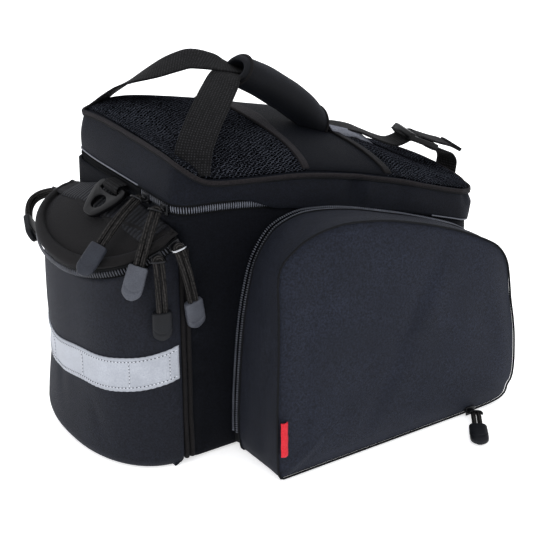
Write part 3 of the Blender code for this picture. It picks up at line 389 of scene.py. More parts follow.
def smooth_line(points, steps):
    """Evenly spaced places on a smooth curve through the given points."""
    points = [Vector(p) for p in points]
    knots = [points[0] * 2 - points[1]] + points + [points[-1] * 2 - points[-2]]
    fine = []
    for i in range(1, len(knots) - 2):
        a, b, c, d = knots[i - 1 : i + 3]
        for t in (k / 16 for k in range(16)):
            square, cube = (2 * a - 5 * b + 4 * c - d) * t**2, (3 * b - a - 3 * c + d) * t**3
            fine.append(0.5 * (2 * b + (c - a) * t + square + cube))
    fine.append(knots[-2])
    fine = np.array([tuple(p) for p in fine])
    marks = travelled(fine)
    spots = np.linspace(0.0, marks[-1], steps + 1)
    return [Vector([np.interp(s, marks, fine[:, k]) for k in range(3)]) for s in spots]


def sweep(name, path, across, section, finish, closed=False, taper=None):
    """A section of (width, height) pairs carried along a path. Across points along its width."""
    rows = []
    last = len(path) - 1
    for i, centre in enumerate(path):
        if closed:
            ahead = path[(i + 1) % last] - path[(i - 1) % last]
        else:
            ahead = path[min(i + 1, last)] - path[max(i - 1, 0)]
        ahead = ahead.normalized()
        side = across[i] if isinstance(across, list) else across
        side = (side - ahead * side.dot(ahead)).normalized()
        up = ahead.cross(side).normalized()
        wide = taper(i / last) if taper else 1.0
        rows.append([centre + side * (u * wide) + up * v for u, v in section])
        rows[-1].append(rows[-1][0])
    if not closed:
        caps = [[sum(row, Vector()) / len(row)] * len(row) for row in (rows[0], rows[-1])]
        rows = [caps[0], *rows, caps[1]]
    return pin(name, rows, finish, closed=True)


def round_section(radius, sides, flat=1.0):
    turns = [math.tau * k / sides for k in range(sides)]
    return [(radius * math.cos(turn), radius * flat * math.sin(turn)) for turn in turns]


def band_section(width, thickness):
    """A flat band with slightly rounded edges."""
    half, thick = width / 2, thickness / 2
    top = [((k / 4 - 1) * (half - thick * 0.6), thick) for k in range(9)]
    under = [(u, -v) for u, v in reversed(top)]
    return top + [(half, 0.0)] + under + [(-half, 0.0)]


# %% An outline seen from above
def outline(points):
    """Reads a closed anticlockwise line of (x, y) by its length: a share gives place and normal."""
    line = np.array(points + points[:1], float)
    marks = travelled(line)
    total = marks[-1]

    def spot_at(length):
        return [np.interp(length, marks, line[:, k]) for k in (0, 1)]

    def at(share, out=0.0):
        spot = (share % 1.0) * total
        x, y = spot_at(spot)
        if not out:
            return float(x), float(y)
        (bx, by), (ax, ay) = spot_at((spot - 0.002) % total), spot_at((spot + 0.002) % total)
        long = math.hypot(ax - bx, ay - by) or 1.0
        return float(x + out * (ay - by) / long), float(y - out * (ax - bx) / long)

    at.length = total
    return at


def clamp(value):
    return min(max(value, 0.0), 1.0)


def eased(share):
    """0 to 1 with a soft start and stop."""
    share = clamp(share)
    return share * share * (3 - 2 * share)


def waviness(p, size, seed=0.0):
    """Smooth noise between -1 and 1 whose bumps are about this size."""
    return noise.noise(Vector((p[0] / size + seed, p[1] / size - seed, p[2] / size + 2.3 * seed)))


def folds(p, table, long):
    """What a table of folds adds at a place. Each row is a soft hollow or ridge: its place, width,
    direction and depth. It fades over its width, and long times that far along its direction."""
    total = 0.0
    for centre, reach, axis, deep in table:
        away, axis = Vector(p) - Vector(centre), Vector(axis).normalized()
        run = away.dot(axis)
        off = (away - axis * run).length
        total += deep * math.exp(-((off / reach) ** 2) - (run / (reach * long)) ** 2)
    return total


# %% [markdown]
# Stitches and zip teeth repeat by the hundred. One small bead is modelled, and copies of it are
# laid along a line, each with its own place, direction and size, and joined into one piece.


# %% Beads laid along a line
bpy.ops.mesh.primitive_uv_sphere_add(segments=6, ring_count=4, radius=0.5)
bead = bpy.context.object
BEAD_POINTS = np.array([tuple(v.co) for v in bead.data.vertices])
BEAD_FACES = [tuple(f.vertices) for f in bead.data.polygons]
bpy.data.objects.remove(bead)


def lay_beads(name, places, finish):
    """Places holds (centre, along, across, (long, wide, high)) rows, one for each bead."""
    points, faces = [], []
    for centre, along, across, size in places:
        along = along.normalized()
        across = (across - along * across.dot(along)).normalized()
        turned = Matrix((along * size[0], across * size[1], along.cross(across) * size[2])).transposed()
        start = len(points)
        shaped = BEAD_POINTS @ np.array(turned).T + np.array(centre)
        points += [tuple(p) for p in shaped]
        faces += [tuple(start + i for i in face) for face in BEAD_FACES]
    mesh = bpy.data.meshes.new(name)
    mesh.from_pydata(points, [], faces)
    made = bpy.data.objects.new(name, mesh)
    bpy.context.collection.objects.link(made)
    mesh.materials.append(finish)
    only(made)
    bpy.ops.object.shade_smooth()
    return made


def every(path, pitch):
    """Places along a path at a pitch, with the direction of travel at each."""
    line = np.array([tuple(p) for p in path])
    marks = travelled(line)
    found = []
    for s in np.arange(pitch / 2, marks[-1], pitch):
        spot, ahead, behind = (
            Vector([np.interp(s + step, marks, line[:, k]) for k in range(3)]) for step in (0.0, 0.001, -0.001)
        )
        found.append((spot, (ahead - behind).normalized()))
    return found


def zip_teeth(name, path, out, finish, width, pitch, paired=False):
    """Filament loops across a chain: whole strokes, or pairs of short ones where the middle is
    hidden by the tape. Out gives the chain's outward side at a place."""
    rows = []
    for spot, along in every(path, pitch):
        normal = out(spot)
        across = along.cross(normal).normalized()
        spot = spot + normal * 0.0002
        if paired:
            for side in (1, -1):
                place = spot + across * side * width * 0.33 + along * side * 0.12 * pitch
                size = (width * 0.34, pitch * 0.52, 0.0019)
                rows.append((place, across + along * side * 0.12, along, size))
        else:
            rows.append((spot, across + along * 0.10, along, (width, pitch * 0.46, 0.0017)))
    return lay_beads(name, rows, finish)


def run_stitches(name, path, out, finish, pitch, thread):
    """A line of lock stitches lying on a surface. Out gives the outward side at a place."""
    rows = []
    for spot, along in every(path, pitch):
        normal = out(spot)
        size = (pitch * 0.68, thread, thread * 0.8)
        rows.append((spot + normal * thread * 0.2, along, along.cross(normal), size))
    return lay_beads(name, rows, finish)


def belongs(piece, slot, *nodes, body="bag"):
    """Rides on the bag, and stands for CAD nodes, which it hides. Its slot is not used."""
    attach(piece, body)
    if nodes:
        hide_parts(*nodes)
    return piece


print("tools ready, bead faces:", len(BEAD_FACES))

# %% [markdown]
# ## The main tub
#
# The tub is a rounded box, bowed out at its front end where the load pushes, with a foam-padded
# wall. The cloth hangs from the zip and is gathered a little into the upright seams, so its wall
# has soft puckers beside them and a slight belly between.

# %% Sizes of the tub and its zip line
REAR_X, FRONT_X = -0.121, 0.184
HALF_WIDTH = 0.095
CORNER = 0.016
FRONT_BOW, BOW_REACH = 0.018, 0.050
ZIP_REAR, ZIP_FALL, ZIP_POWER = 0.224, 0.066, 1.6
ZIP_WIDE = 0.0084
LID_HALF = HALF_WIDTH - 0.004
LID_REAR, LID_FRONT = REAR_X + 0.009, FRONT_X + 0.005
# How far the cloth has been drawn in at the lid's far rear corner
CORNER_PULL = 0.0036


def zip_height(x):
    share = clamp((x - REAR_X) / (FRONT_X - REAR_X))
    return ZIP_REAR - ZIP_FALL * share**ZIP_POWER


# Places (x, height) along the lid's two long edges and its crown above them. The rear end stands
# up like a brow, and the stuffed far half is higher than the near one.
NEAR_EDGE = [
    (-0.114, 0.2600), (-0.104, 0.2520), (-0.094, 0.2462), (-0.083, 0.2430), (-0.060, 0.2400), (-0.020, 0.2362),
    (0.010, 0.2322), (0.042, 0.2254), (0.070, 0.2184), (0.100, 0.2098), (0.125, 0.2014), (0.153, 0.1922),
    (0.190, 0.1815),
]
FAR_EDGE = [
    (-0.114, 0.2612), (-0.100, 0.2640), (-0.082, 0.2655), (-0.054, 0.2625), (0.002, 0.2508), (0.040, 0.2412),
    (0.080, 0.2318), (0.120, 0.2180), (0.150, 0.2045), (0.190, 0.1858),
]
CROWN = [
    (-0.114, 0.0045), (-0.090, 0.0080), (-0.060, 0.0105), (0.100, 0.0105), (0.130, 0.0085), (0.160, 0.0050),
    (0.190, 0.0012),
]


def edge_table(pairs):
    line = smooth_line([(x, 0.0, z) for x, z in pairs], 80)
    return [p.x for p in line], [p.z for p in line]


NEAR_EDGE, FAR_EDGE, CROWN = edge_table(NEAR_EDGE), edge_table(FAR_EDGE), edge_table(CROWN)


def lid_height(x, y):
    near, far, crown = (float(np.interp(x, *line)) for line in (NEAR_EDGE, FAR_EDGE, CROWN))
    share = clamp((y + LID_HALF) / (2 * LID_HALF))
    return near + (far - near) * share + crown * (1 - min(abs(y) / LID_HALF, 1.0) ** 4)


def rounded_box(rear, front, half, radius):
    """The rounded outline of the tub or lid from above, its front end bowed out."""
    points = []
    for cx, cy, start in (
        (front - radius, -half + radius, -90),
        (front - radius, half - radius, 0),
        (rear + radius, half - radius, 90),
        (rear + radius, -half + radius, 180),
    ):
        for k in range(11):
            turn = math.radians(start + 9 * k)
            points.append((cx + radius * math.cos(turn), cy + radius * math.sin(turn)))
    dense = []
    for i, (ax, ay) in enumerate(points):
        bx, by = points[(i + 1) % len(points)]
        steps = max(1, int(math.hypot(bx - ax, by - ay) / 0.004))
        for k in range(steps):
            dense.append((ax + (bx - ax) * k / steps, ay + (by - ay) * k / steps))
    bowed = []
    for x, y in dense:
        share = clamp((x - front + BOW_REACH) / BOW_REACH)
        bowed.append((x + FRONT_BOW * share * (1 - (y / half) ** 2), y))
    return bowed


tub_line = outline(rounded_box(REAR_X, FRONT_X, HALF_WIDTH, CORNER))


def far_corner(x, y):
    """How near a place is to the lid's far rear corner, from 0 to 1."""
    return math.exp(-(((x + 0.116) / 0.030) ** 2) - ((y - 0.095) / 0.030) ** 2)


lid_box = rounded_box(LID_REAR, LID_FRONT, LID_HALF, CORNER)
lid_line = outline([(x - 0.0022 * far_corner(x, y), y + 0.0014 * far_corner(x, y)) for x, y in lid_box])
print("zip line:", round(tub_line.length, 3), "m round")


# %% The tub
def tub_place(share, height_share):
    """The tub's cloth: folded under at the base, belly and puckers on the wall."""
    top = zip_height(tub_line(share)[0]) - ZIP_WIDE / 2 - 0.0003
    z = 0.007 + (top - 0.007) * height_share
    x, y = tub_line(share, 0.00001)
    p = (x, y, z)
    belly = 0.0012 * math.sin(math.pi * height_share)
    out = belly + 0.0010 * waviness(p, 0.045) * math.sin(math.pi * height_share)
    out += 1.4 * folds(p, TUB_FOLDS, 3.0)
    x, y = tub_line(share, out)
    return Vector((x, y, z))


# Soft puckers of the wall beside the end pocket's seam: place, width, direction, and depth
TUB_FOLDS = [
    ((-0.106, -0.095, 0.128), 0.0045, (1.0, 0.0, -0.5), -0.0022),
    ((-0.104, -0.095, 0.104), 0.0050, (1.0, 0.0, -0.3), -0.0024),
    ((-0.107, -0.095, 0.076), 0.0045, (1.0, 0.0, 0.4), -0.0020),
    ((-0.102, -0.095, 0.160), 0.0060, (0.5, 0.0, 1.0), -0.0022),
    ((-0.096, -0.095, 0.185), 0.0050, (0.8, 0.0, 1.0), 0.0016),
    ((-0.098, -0.095, 0.030), 0.0060, (0.3, 0.0, 1.0), -0.0018),
]
TURNS = 220
shares = [k / TURNS for k in range(TURNS + 1)]
rows = []
for inset, z in ((-0.095, 0.0), (-0.030, 0.0), (-0.0065, 0.0), (-0.0028, 0.0009), (-0.0008, 0.0030)):
    if inset < -0.05:
        rows.append([Vector((0.03 + 0.6 * (tub_line(s)[0] - 0.03), tub_line(s)[1] * 0.15, z)) for s in shares])
    else:
        rows.append([Vector((*tub_line(s, inset), z)) for s in shares])
for step in range(31):
    rows.append([tub_place(s, step / 30) for s in shares])
rows.insert(0, [Vector((0.03 + 0.54 * (p.x - 0.03), 0.0, 0.0)) for p in rows[0]])
# The tub's cloth is the darker copy of the nylon, a painted shade.
tub = pin("tub", rows, NYLON_SHADE, thickness=0.0022)
belongs(tub, "cloth", "body_shell")
print("tub faces:", len(tub.data.polygons))

# %% [markdown]
# ## The lid
#
# The lid is a shallow cloth tray turned upside down: a stiff skirt, a domed top and a folded tape
# bound over the edge where the two are sewn together. The skirt leans out a little under the
# binding and is pushed in where the side pocket's zip presses on it, and its front corner has
# crumpled, as padded cloth does at a tight turn.

# %% The lid's shell
# Hollows and ridges of the skirt: place, width, direction, and depth
LID_FOLDS = [
    ((0.050, -0.092, 0.210), 0.0080, (0.45, 0.0, 1.0), -0.0046),
    ((0.063, -0.092, 0.206), 0.0050, (0.55, 0.0, 1.0), 0.0022),
    ((0.100, -0.092, 0.197), 0.0070, (0.8, 0.0, 0.6), -0.0014),
    ((0.178, -0.090, 0.176), 0.0050, (0.3, 0.0, 1.0), -0.0034),
    ((0.196, -0.070, 0.172), 0.0050, (0.1, 0.2, 1.0), -0.0042),
    ((0.192, -0.088, 0.175), 0.0035, (0.3, 1.0, 0.0), -0.0030),
    ((0.192, -0.088, 0.168), 0.0035, (0.3, 1.0, 0.0), 0.0024),
    ((0.120, -0.092, 0.190), 0.0100, (1.0, 0.0, 0.1), 0.0010),
    ((-0.030, -0.092, 0.232), 0.0160, (1.0, 0.0, 0.0), 0.0008),
]


def lid_fold(p):
    return folds(p, LID_FOLDS, 2.0)


def overhang(x):
    """The skirt hangs down over the zip, but not round the corner where its sliders stop."""
    return eased((x + 0.066) / 0.040)


def skirt_foot(share, out=0.0):
    """The skirt's lower edge."""
    x, y = tub_line(share)
    cover = overhang(x)
    z = zip_height(x) + ZIP_WIDE / 2 + 0.0003 - 0.0085 * cover
    x, y = tub_line(share, 0.0026 * cover + out - CORNER_PULL * far_corner(x, y) + 0.00001)
    return Vector((x, y, z))


def skirt_place(share, up):
    x, y, low = skirt_foot(share)
    ex, ey = lid_line(share)
    high = lid_height(ex, ey) - 0.0022
    p = Vector((x + (ex - x) * up, y + (ey - y) * up, low + (high - low) * up))
    nx, ny = tub_line(share, 1.0)
    out = 0.0022 * math.sin(math.pi * up) + lid_fold(p)
    out += 0.0007 * waviness(p, 0.038, 3.0) * math.sin(math.pi * up)
    return p + Vector((nx - x, ny - y, 0.0)) * out


def top_place(share, inward):
    """The lid's top, from its edge at 0 to the middle at 1."""
    ex, ey = lid_line(share)
    cx, cy = 0.0385, 0.0
    x, y = cx + (ex - cx) * (1 - inward), cy + (ey - cy) * (1 - inward)
    z = lid_height(x, y)
    edge = max(0.0, 1.0 - inward / 0.05)
    z -= 0.0022 * edge**2
    return Vector((x, y, z - 0.0012 * (1 - edge)))


rows = [[skirt_place(s, k / 12) for s in shares] for k in range(13)]
for inward in (0.01, 0.025, 0.05, 0.10, 0.18, 0.30, 0.45, 0.60, 0.75, 0.90, 1.0):
    rows.append([top_place(s, inward) for s in shares])
# The lid's cloth is a darker copy of the nylon, a painted shade.
lid = pin("lid", rows, NYLON_LID_SHADE, thickness=0.0024, inside=Vector((0.03, 0.0, 0.16)))
belongs(lid, "cloth", "lid_shell")
print("lid:", len(lid.data.polygons), "faces")

# %% [markdown]
# The binding is a strip of tape folded over the raw edges and sewn through. Seen from outside it
# is a flat band standing on edge, so a flattened tube does it: 3.6 mm tall and 2.6 mm thick. The
# stitches pull a narrow groove under it, whose shade is painted as a thin near-black tube, and a
# cord closes the skirt below, light grey with a painted highlight.

# %% The lid's folded binding and its seam
EDGE_STEPS = 260
UP = Vector((0.0, 0.0, 1.0))
SIDEWAYS = Vector((0.0, 1.0, 0.0))
edge_path = []
for k in range(EDGE_STEPS + 1):
    share = k / EDGE_STEPS
    x, y = lid_line(share, 0.0016)
    ex, ey = lid_line(share)
    p = Vector((x, y, lid_height(ex, ey) - 0.0022))
    push = lid_fold(p) * 0.5
    x, y = lid_line(share, 0.0016 + push)
    edge_path.append(Vector((x, y, p.z + 0.0004 * waviness(p, 0.03, 7.0))))
edge_path[-1] = edge_path[0].copy()
flat_tube = [(u, math.copysign(abs(v / 0.0013) ** 0.6, v) * 0.0018) for u, v in round_section(0.0013, 12)]
runs = [edge_path[(i + 1) % EDGE_STEPS] - edge_path[i - 1] for i in range(EDGE_STEPS + 1)]
across = [UP.cross(run).normalized() for run in runs]
binding = sweep("lid_binding", edge_path, across, flat_tube, TAPE_BROWN, closed=True)
belongs(binding, "webbing", "lid_piping")
# The groove's shade is painted: a thin near-black tube just under the binding.
groove_path = [p + Vector((0.0, 0.0, -0.0024)) for p in edge_path]
groove = sweep("lid_binding_groove_painted_shadow", groove_path, UP, round_section(0.0009, 8), SHADE_BLACK, closed=True)
belongs(groove, "webbing")
# The edge cords take the coil's painted-highlight grey.
for name, start, stop in (("rear", 0.508, 0.645), ("front", 0.966, 1.012)):
    foot = [skirt_foot((start + (stop - start) * k / 90) % 1.0, 0.0003) for k in range(91)]
    cord = sweep(f"skirt_edge_cord_{name}", foot, UP, round_section(0.0006, 8), COIL_HIGHLIT)
    belongs(cord, "zip")
    print(name, "cord from", [round(c, 3) for c in foot[0]], "to", [round(c, 3) for c in foot[-1]])
print("binding:", len(binding.data.polygons), "faces")

# %% [markdown]
# Two panels of net are let into the lid's top, with a plain panel between them. Net is a cloth
# that shows its own structure: slanting threads that cross over dark cells.

# %% Net and plain panels
PANEL_HALF = LID_HALF - 0.0012
PANEL_ROWS = 70


def rear_border(y):
    """The rear edge of the lid's top, with its rounded corners."""
    over = max(abs(y) - (LID_HALF - CORNER), 0.0)
    return LID_REAR + CORNER - math.sqrt(max(CORNER**2 - over**2, 0.0)) + 0.0012


def front_border(y):
    over = max(abs(y) - (LID_HALF - CORNER), 0.0)
    bow = FRONT_BOW * (1 - (y / LID_HALF) ** 2)
    return LID_FRONT - CORNER + math.sqrt(max(CORNER**2 - over**2, 0.0)) + bow - 0.0012


def rear_arc(y):
    return 0.006 - 0.006 * (y / HALF_WIDTH) ** 2


def front_arc(y):
    return 0.088 + 0.006 * (y / HALF_WIDTH) ** 2


def top_sheet(name, start, stop, finish, lift, thickness, columns=40, sag=0.0, wave=0.0006):
    """A panel of the lid's top between two lines across it."""
    rows = []
    for r in range(PANEL_ROWS + 1):
        y = -PANEL_HALF + 2 * PANEL_HALF * r / PANEL_ROWS
        row = []
        for c in range(columns + 1):
            x = start(y) + (stop(y) - start(y)) * c / columns
            inner = math.sin(math.pi * c / columns) * math.sin(math.pi * r / PANEL_ROWS)
            z = lid_height(x, y) + lift + inner * (wave * waviness((x, y, 0.0), 0.03, 1.0) - sag)
            border = max(0.0, 1 - min(x - rear_border(y), front_border(y) - x, PANEL_HALF - abs(y)) / 0.006)
            row.append(Vector((x, y, z - 0.0018 * min(border, 1.0) ** 2)))
        rows.append(row)
    return pin(name, rows, finish, thickness=thickness, inside=Vector((0.03, 0.0, 0.1)))


net_rear = top_sheet(
    "net_rear", rear_border, lambda y: rear_arc(y) + 0.004, NET, 0.0022, 0.0016, sag=0.001, wave=0.0012
)
belongs(net_rear, "mesh", "mesh_rear")
net_front = top_sheet("net_front", lambda y: front_arc(y) - 0.004, front_border, NET, 0.0022, 0.0016, sag=0.001)
belongs(net_front, "mesh", "mesh_front")
# The plain panel takes the darker copy of the nylon, a painted shade.
plain = top_sheet(
    "lid_plain_panel", lambda y: rear_arc(y) + 0.003, lambda y: front_arc(y) - 0.003, NYLON_SHADE, 0.0022, 0.0012
)
belongs(plain, "cloth", "lid_centre_panel")


def leaf_edge(y):
    """The rear tape has been pulled wide over the middle, into the shape of a leaf."""
    return rear_arc(y) + 0.0062 + 0.0125 * math.exp(-(((y - 0.018) / 0.036) ** 2))


tape_rear = top_sheet("rear_net_tape", rear_arc, leaf_edge, TAPE_BROWN, 0.0044, 0.0018, columns=8)
belongs(tape_rear, "webbing", "binding_rear")
tape_front = top_sheet(
    "front_net_tape", lambda y: front_arc(y) - 0.0070, front_arc, BINDING, 0.0044, 0.0018, columns=8
)
belongs(tape_front, "webbing", "binding_front")
print("lid panels made")

# %% [markdown]
# ## The main zip
#
# A nylon coil zip is two filaments wound into loops that lock together. From a distance it reads
# as a fine ladder between two dark tapes, so the tape is one pinned sheet and each loop is a bead.

# %% The main zip
zip_rows = []
for k in range(7):
    up = -1 + 2 * k / 6
    row = []
    for s in shares:
        x, y = tub_line(s)
        z = zip_height(x) + up * (ZIP_WIDE / 2 + 0.0008)
        x, y = tub_line(s, -0.0006 - 0.0010 * (1 - up * up) - CORNER_PULL * far_corner(x, y))
        row.append(Vector((x, y, z)))
    zip_rows.append(row)
main_tape = pin("main_zip_tape", zip_rows, ZIP_TAPE, thickness=0.0014)
belongs(main_tape, "zip", "main_zip")


def zip_run(line, height, start, stop, steps, out):
    found = []
    for k in range(steps + 1):
        share = start + (stop - start) * k / steps
        x, y = line(share)
        z = height(x, y)
        x, y = line(share, out)
        found.append(Vector((x, y, z)))
    return found


def tub_out(p):
    """Outward side of the tub at a place near its wall."""
    x0, y0 = REAR_X + CORNER, HALF_WIDTH - CORNER
    dx = min(p.x - x0, 0.0) if p.x < x0 else max(p.x - (FRONT_X - CORNER), 0.0)
    dy = p.y - max(min(p.y, y0), -y0)
    if abs(dx) < 1e-6 and abs(dy) < 1e-6:
        dx = -1.0 if p.x < 0 else 1.0
    return Vector((dx, dy, 0.0)).normalized()


main_chain = zip_run(tub_line, lambda x, y: zip_height(x), 0.0, 1.0, 500, -0.0004)
main_chain = [p - tub_out(p) * CORNER_PULL * far_corner(p.x, p.y) for p in main_chain]
# The chain's loops are drawn in three finishes by how light falls on them: a painted highlight along the near
# side, a dimmer painted highlight round the near rear corner, and near-black painted shade along the rear.
parts = {
    "rear_corner": ([p for p in main_chain if p.x < -0.117 and -0.082 < p.y < -0.036], COIL_DIM_HIGHLIT, 0.0030),
    "near_side": ([p for p in main_chain if p.y < -0.082 and p.x < -0.020][:-1], COIL_HIGHLIT, 0.0021),
    "rear": ([p for p in main_chain if p.x < -0.100 and p.y > -0.036], SHADE_BLACK, 0.0021),
}
for name, (chain, finish, pitch) in parts.items():
    if name == "near_side":
        chain.sort(key=lambda p: p.x)
    teeth = zip_teeth(f"main_zip_teeth_{name}", chain, tub_out, finish, 0.0064, pitch)
    belongs(teeth, "zip")
    print("main zip,", name, len(teeth.data.polygons) // len(BEAD_FACES), "loops")

# %% [markdown]
# ## The end pocket
#
# The barrel at the rear end is a half-round wall on a flat back, closed by a D-shaped flap. Its
# mouth slopes down outwards. The wall is drawn in a little by the reflective tape sewn round it,
# so it bellies above and below.

# %% The barrel's wall
BARREL_DEEP, BARREL_HALF, BARREL_POWER = 0.0645, 0.0970, 2.2
BARREL_BACK = REAR_X - 0.0004
RIM_HIGH, RIM_SLOPE, FLAP_CROWN = 0.2055, 0.55, 0.006
END_ZIP = 0.0080
BARREL_MIDDLE = Vector((-0.150, 0.0, 0.10))


def d_shape():
    """The barrel from above: its curved wall, and then its flat back."""
    points = []
    for k in range(121):
        turn = 0.5 * math.pi + math.pi * k / 120
        out = abs(math.cos(turn)) ** (2 / BARREL_POWER)
        wide = math.copysign(abs(math.sin(turn)) ** (2 / BARREL_POWER), math.sin(turn))
        points.append((BARREL_BACK - BARREL_DEEP * out, BARREL_HALF * wide))
    for k in range(1, 40):
        points.append((BARREL_BACK, -BARREL_HALF + 2 * BARREL_HALF * k / 40))
    return points


barrel_line = outline(d_shape())


def barrel_share(x):
    """0 at the barrel's back and 1 at its outermost place."""
    return clamp((REAR_X - x) / BARREL_DEEP)


def rim_height(x, y):
    """The rim slopes down outwards, and its far corner has slumped."""
    out = barrel_share(x)
    across = min(abs(y) / BARREL_HALF, 1.0)
    slump = 0.0140 * eased((y - 0.010) / 0.080) * (1 - out) ** 1.5
    return RIM_HIGH - RIM_SLOPE * BARREL_DEEP * out + FLAP_CROWN * (1 - across**2) * (1 - out) - slump


STRIP_LOW, STRIP_FALL, STRIP_HIGH = 0.084, 0.016, 0.030


def strip_low(x, y):
    out = barrel_share(x)
    return STRIP_LOW - STRIP_FALL * out - 0.0075 * eased((y + 0.040) / 0.060)


def slackness(y):
    """The far half of the barrel has sunk in under its stiff rim."""
    return 0.0058 * eased((y + 0.088) / 0.075)


def barrel_swell(x, y, z):
    """How far the barrel's wall stands out from its outline."""
    top = rim_height(x, y) - END_ZIP
    out = barrel_share(x)
    if out < 0.01:
        return 0.0
    middle = strip_low(x, y) + STRIP_HIGH / 2
    share = clamp(z / top)
    swell = 0.0016 * math.sin(math.pi * share) * min(out * 6, 1.0)
    swell -= 0.0020 * math.exp(-(((z - middle) / 0.016) ** 2)) * min(out * 3, 1.0)
    swell -= slackness(y) * clamp((z - 0.012) / 0.045)
    swell += 0.0009 * waviness((x, y, z), 0.05, 5.0) * min(out * 4, 1.0)
    return swell + folds((x, y, z), BARREL_FOLDS, 2.5)


BARREL_FOLDS = [
    ((-0.160, -0.078, 0.118), 0.0060, (0.2, -0.3, 1.0), -0.0010),
    ((-0.184, 0.012, 0.055), 0.0080, (0.0, 0.4, 1.0), -0.0012),
    ((-0.176, -0.050, 0.040), 0.0070, (0.0, 0.5, 1.0), -0.0010),
]
rows = []
for inset, z in ((0.0068, 0.0006), (0.0028, 0.0016), (0.0008, 0.0044)):
    foot = [barrel_line(s, -inset) for s in shares]
    rows.append([Vector((min(x, BARREL_BACK), y, z)) for x, y in foot])
rim = rows[0]
for share in (0.80, 0.20, 0.0):
    rows.insert(0, [Vector((-0.145 + share * (p.x + 0.145), p.y * share, 0.0006)) for p in rim])
for step in range(45):
    row = []
    for s in shares:
        x, y = barrel_line(s)
        top = rim_height(x, y) - END_ZIP - 0.0006
        z = 0.0084 + (top - 0.0084) * step / 44
        wx, wy = barrel_line(s, barrel_swell(x, y, z) + 0.00001)
        row.append(Vector((min(wx, BARREL_BACK), wy, z)))
    rows.append(row)
barrel = pin("barrel_wall", rows, NYLON, thickness=0.0022, inside=BARREL_MIDDLE)
belongs(barrel, "cloth", "end_pocket_shell")
print("barrel:", len(barrel.data.polygons), "faces")

# %% The barrel's zip
zip_rows = []
for k in range(6):
    up = k / 5
    row = []
    for s in shares:
        x, y = barrel_line(s)
        z = rim_height(x, y) - END_ZIP - 0.0012 + (END_ZIP + 0.0012) * up
        x, y = barrel_line(s, -0.0004 - 0.0010 * math.sin(math.pi * up) - slackness(y) * (1 - 0.8 * up))
        row.append(Vector((min(x, BARREL_BACK - 0.0002), y, z)))
    zip_rows.append(row)
end_tape = pin("end_zip_tape", zip_rows, ZIP_TAPE, thickness=0.0014, inside=Vector((-0.150, 0.0, 0.19)))
belongs(end_tape, "zip", "end_zip")


def barrel_out(p):
    x = min(p.x - BARREL_BACK, -0.0001) / BARREL_DEEP
    y = p.y / BARREL_HALF
    gradient = Vector((-abs(x) ** 1.2 / BARREL_DEEP, math.copysign(abs(y) ** 1.2, y) / BARREL_HALF, 0.0))
    return gradient.normalized()


ARC_SHARE = travelled(np.array(d_shape()[:121]))[-1] / barrel_line.length
end_chain = zip_run(barrel_line, lambda x, y: rim_height(x, y) - 0.0046, 0.012, ARC_SHARE - 0.012, 300, -0.0006)
# The end zip's loops take the dim painted-highlight grey.
end_teeth = zip_teeth("end_zip_teeth", end_chain, barrel_out, COIL_DIM_HIGHLIT, 0.0060, 0.0026)
belongs(end_teeth, "zip")
print("end zip loops:", len(end_teeth.data.polygons) // len(BEAD_FACES))

# %% [markdown]
# The flap is a padded panel with a rolled edge: the binding is turned over a cord, which gives a
# fat rim with a deep groove inside it, and the panel swells up again in the middle.


# %% The flap
def flap_profile(inset):
    """Height of the flap above the rim, by distance in from its edge: rolled rim, groove, panel."""
    roll = 0.0088
    if inset < roll:
        return 0.0012 + 0.0046 * math.sqrt(max(0.0, 1 - ((inset - roll / 2) / (roll / 2)) ** 2))
    rise = min((inset - roll) / 0.012, 1.0)
    return 0.0012 + 0.0030 * math.sin(rise * math.pi / 2)


rows = []
insets = [
    0.0, 0.0004, 0.0012, 0.0024, 0.0038, 0.0052, 0.0064, 0.0074, 0.0082, 0.0088, 0.0094, 0.0106, 0.0130,
    0.0165, 0.021,
]
for inset in insets:
    row = []
    for s in shares:
        x, y = barrel_line(s, -inset + 0.0006)
        near_back = clamp((BARREL_BACK - 0.002 - x) / 0.010)
        lift = flap_profile(inset) * near_back + 0.0040 * (1 - near_back)
        x = min(x, BARREL_BACK - 0.0004)
        row.append(Vector((x, y, rim_height(x, y) + lift)))
    rows.append(row)
for shrink in (0.78, 0.55, 0.3, 0.0):
    row = []
    for p in rows[len(insets) - 1]:
        x, y = -0.148 + (p.x + 0.148) * shrink, p.y * shrink
        wave = 0.0008 * waviness((x, y, 0.2), 0.03, 2.0)
        row.append(Vector((x, y, rim_height(x, y) + 0.0044 + wave)))
    rows.append(row)
flap = pin("end_flap_cloth", rows, PANEL_CLOTH, thickness=0.0014, inside=BARREL_MIDDLE)
belongs(flap, "cloth", "end_flap")
print("flap:", len(flap.data.polygons), "faces")

# %% The hinge webbing
band_rows = []
for r in range(61):
    y = -0.084 + 0.156 * r / 60
    row = []
    for c in range(13):
        x = BARREL_BACK - 0.0012 - 0.0215 * c / 12
        round_off = 0.0012 * max(0.0, abs(2 * c / 12 - 1) - 0.85) / 0.15
        row.append(Vector((x, y, rim_height(x, y) + 0.0060 - round_off + 0.0004 * waviness((x, y, 0), 0.02))))
    band_rows.append(row)
hinge = pin("hinge_webbing", band_rows, RIBBED, thickness=0.0014, inside=BARREL_MIDDLE)
belongs(hinge, "webbing", "hinge_band")

# %% [markdown]
# The reflective tape is sewn on by a lock stitch along both edges and by three upright rows. It
# follows the barrel's wall, so it is pinned to the same swell, a little proud of it.


# %% The reflective tape
def on_barrel(share, z, proud):
    x, y = barrel_line(share)
    wx, wy = barrel_line(share, barrel_swell(x, y, z) + proud)
    return Vector((wx, wy, z))


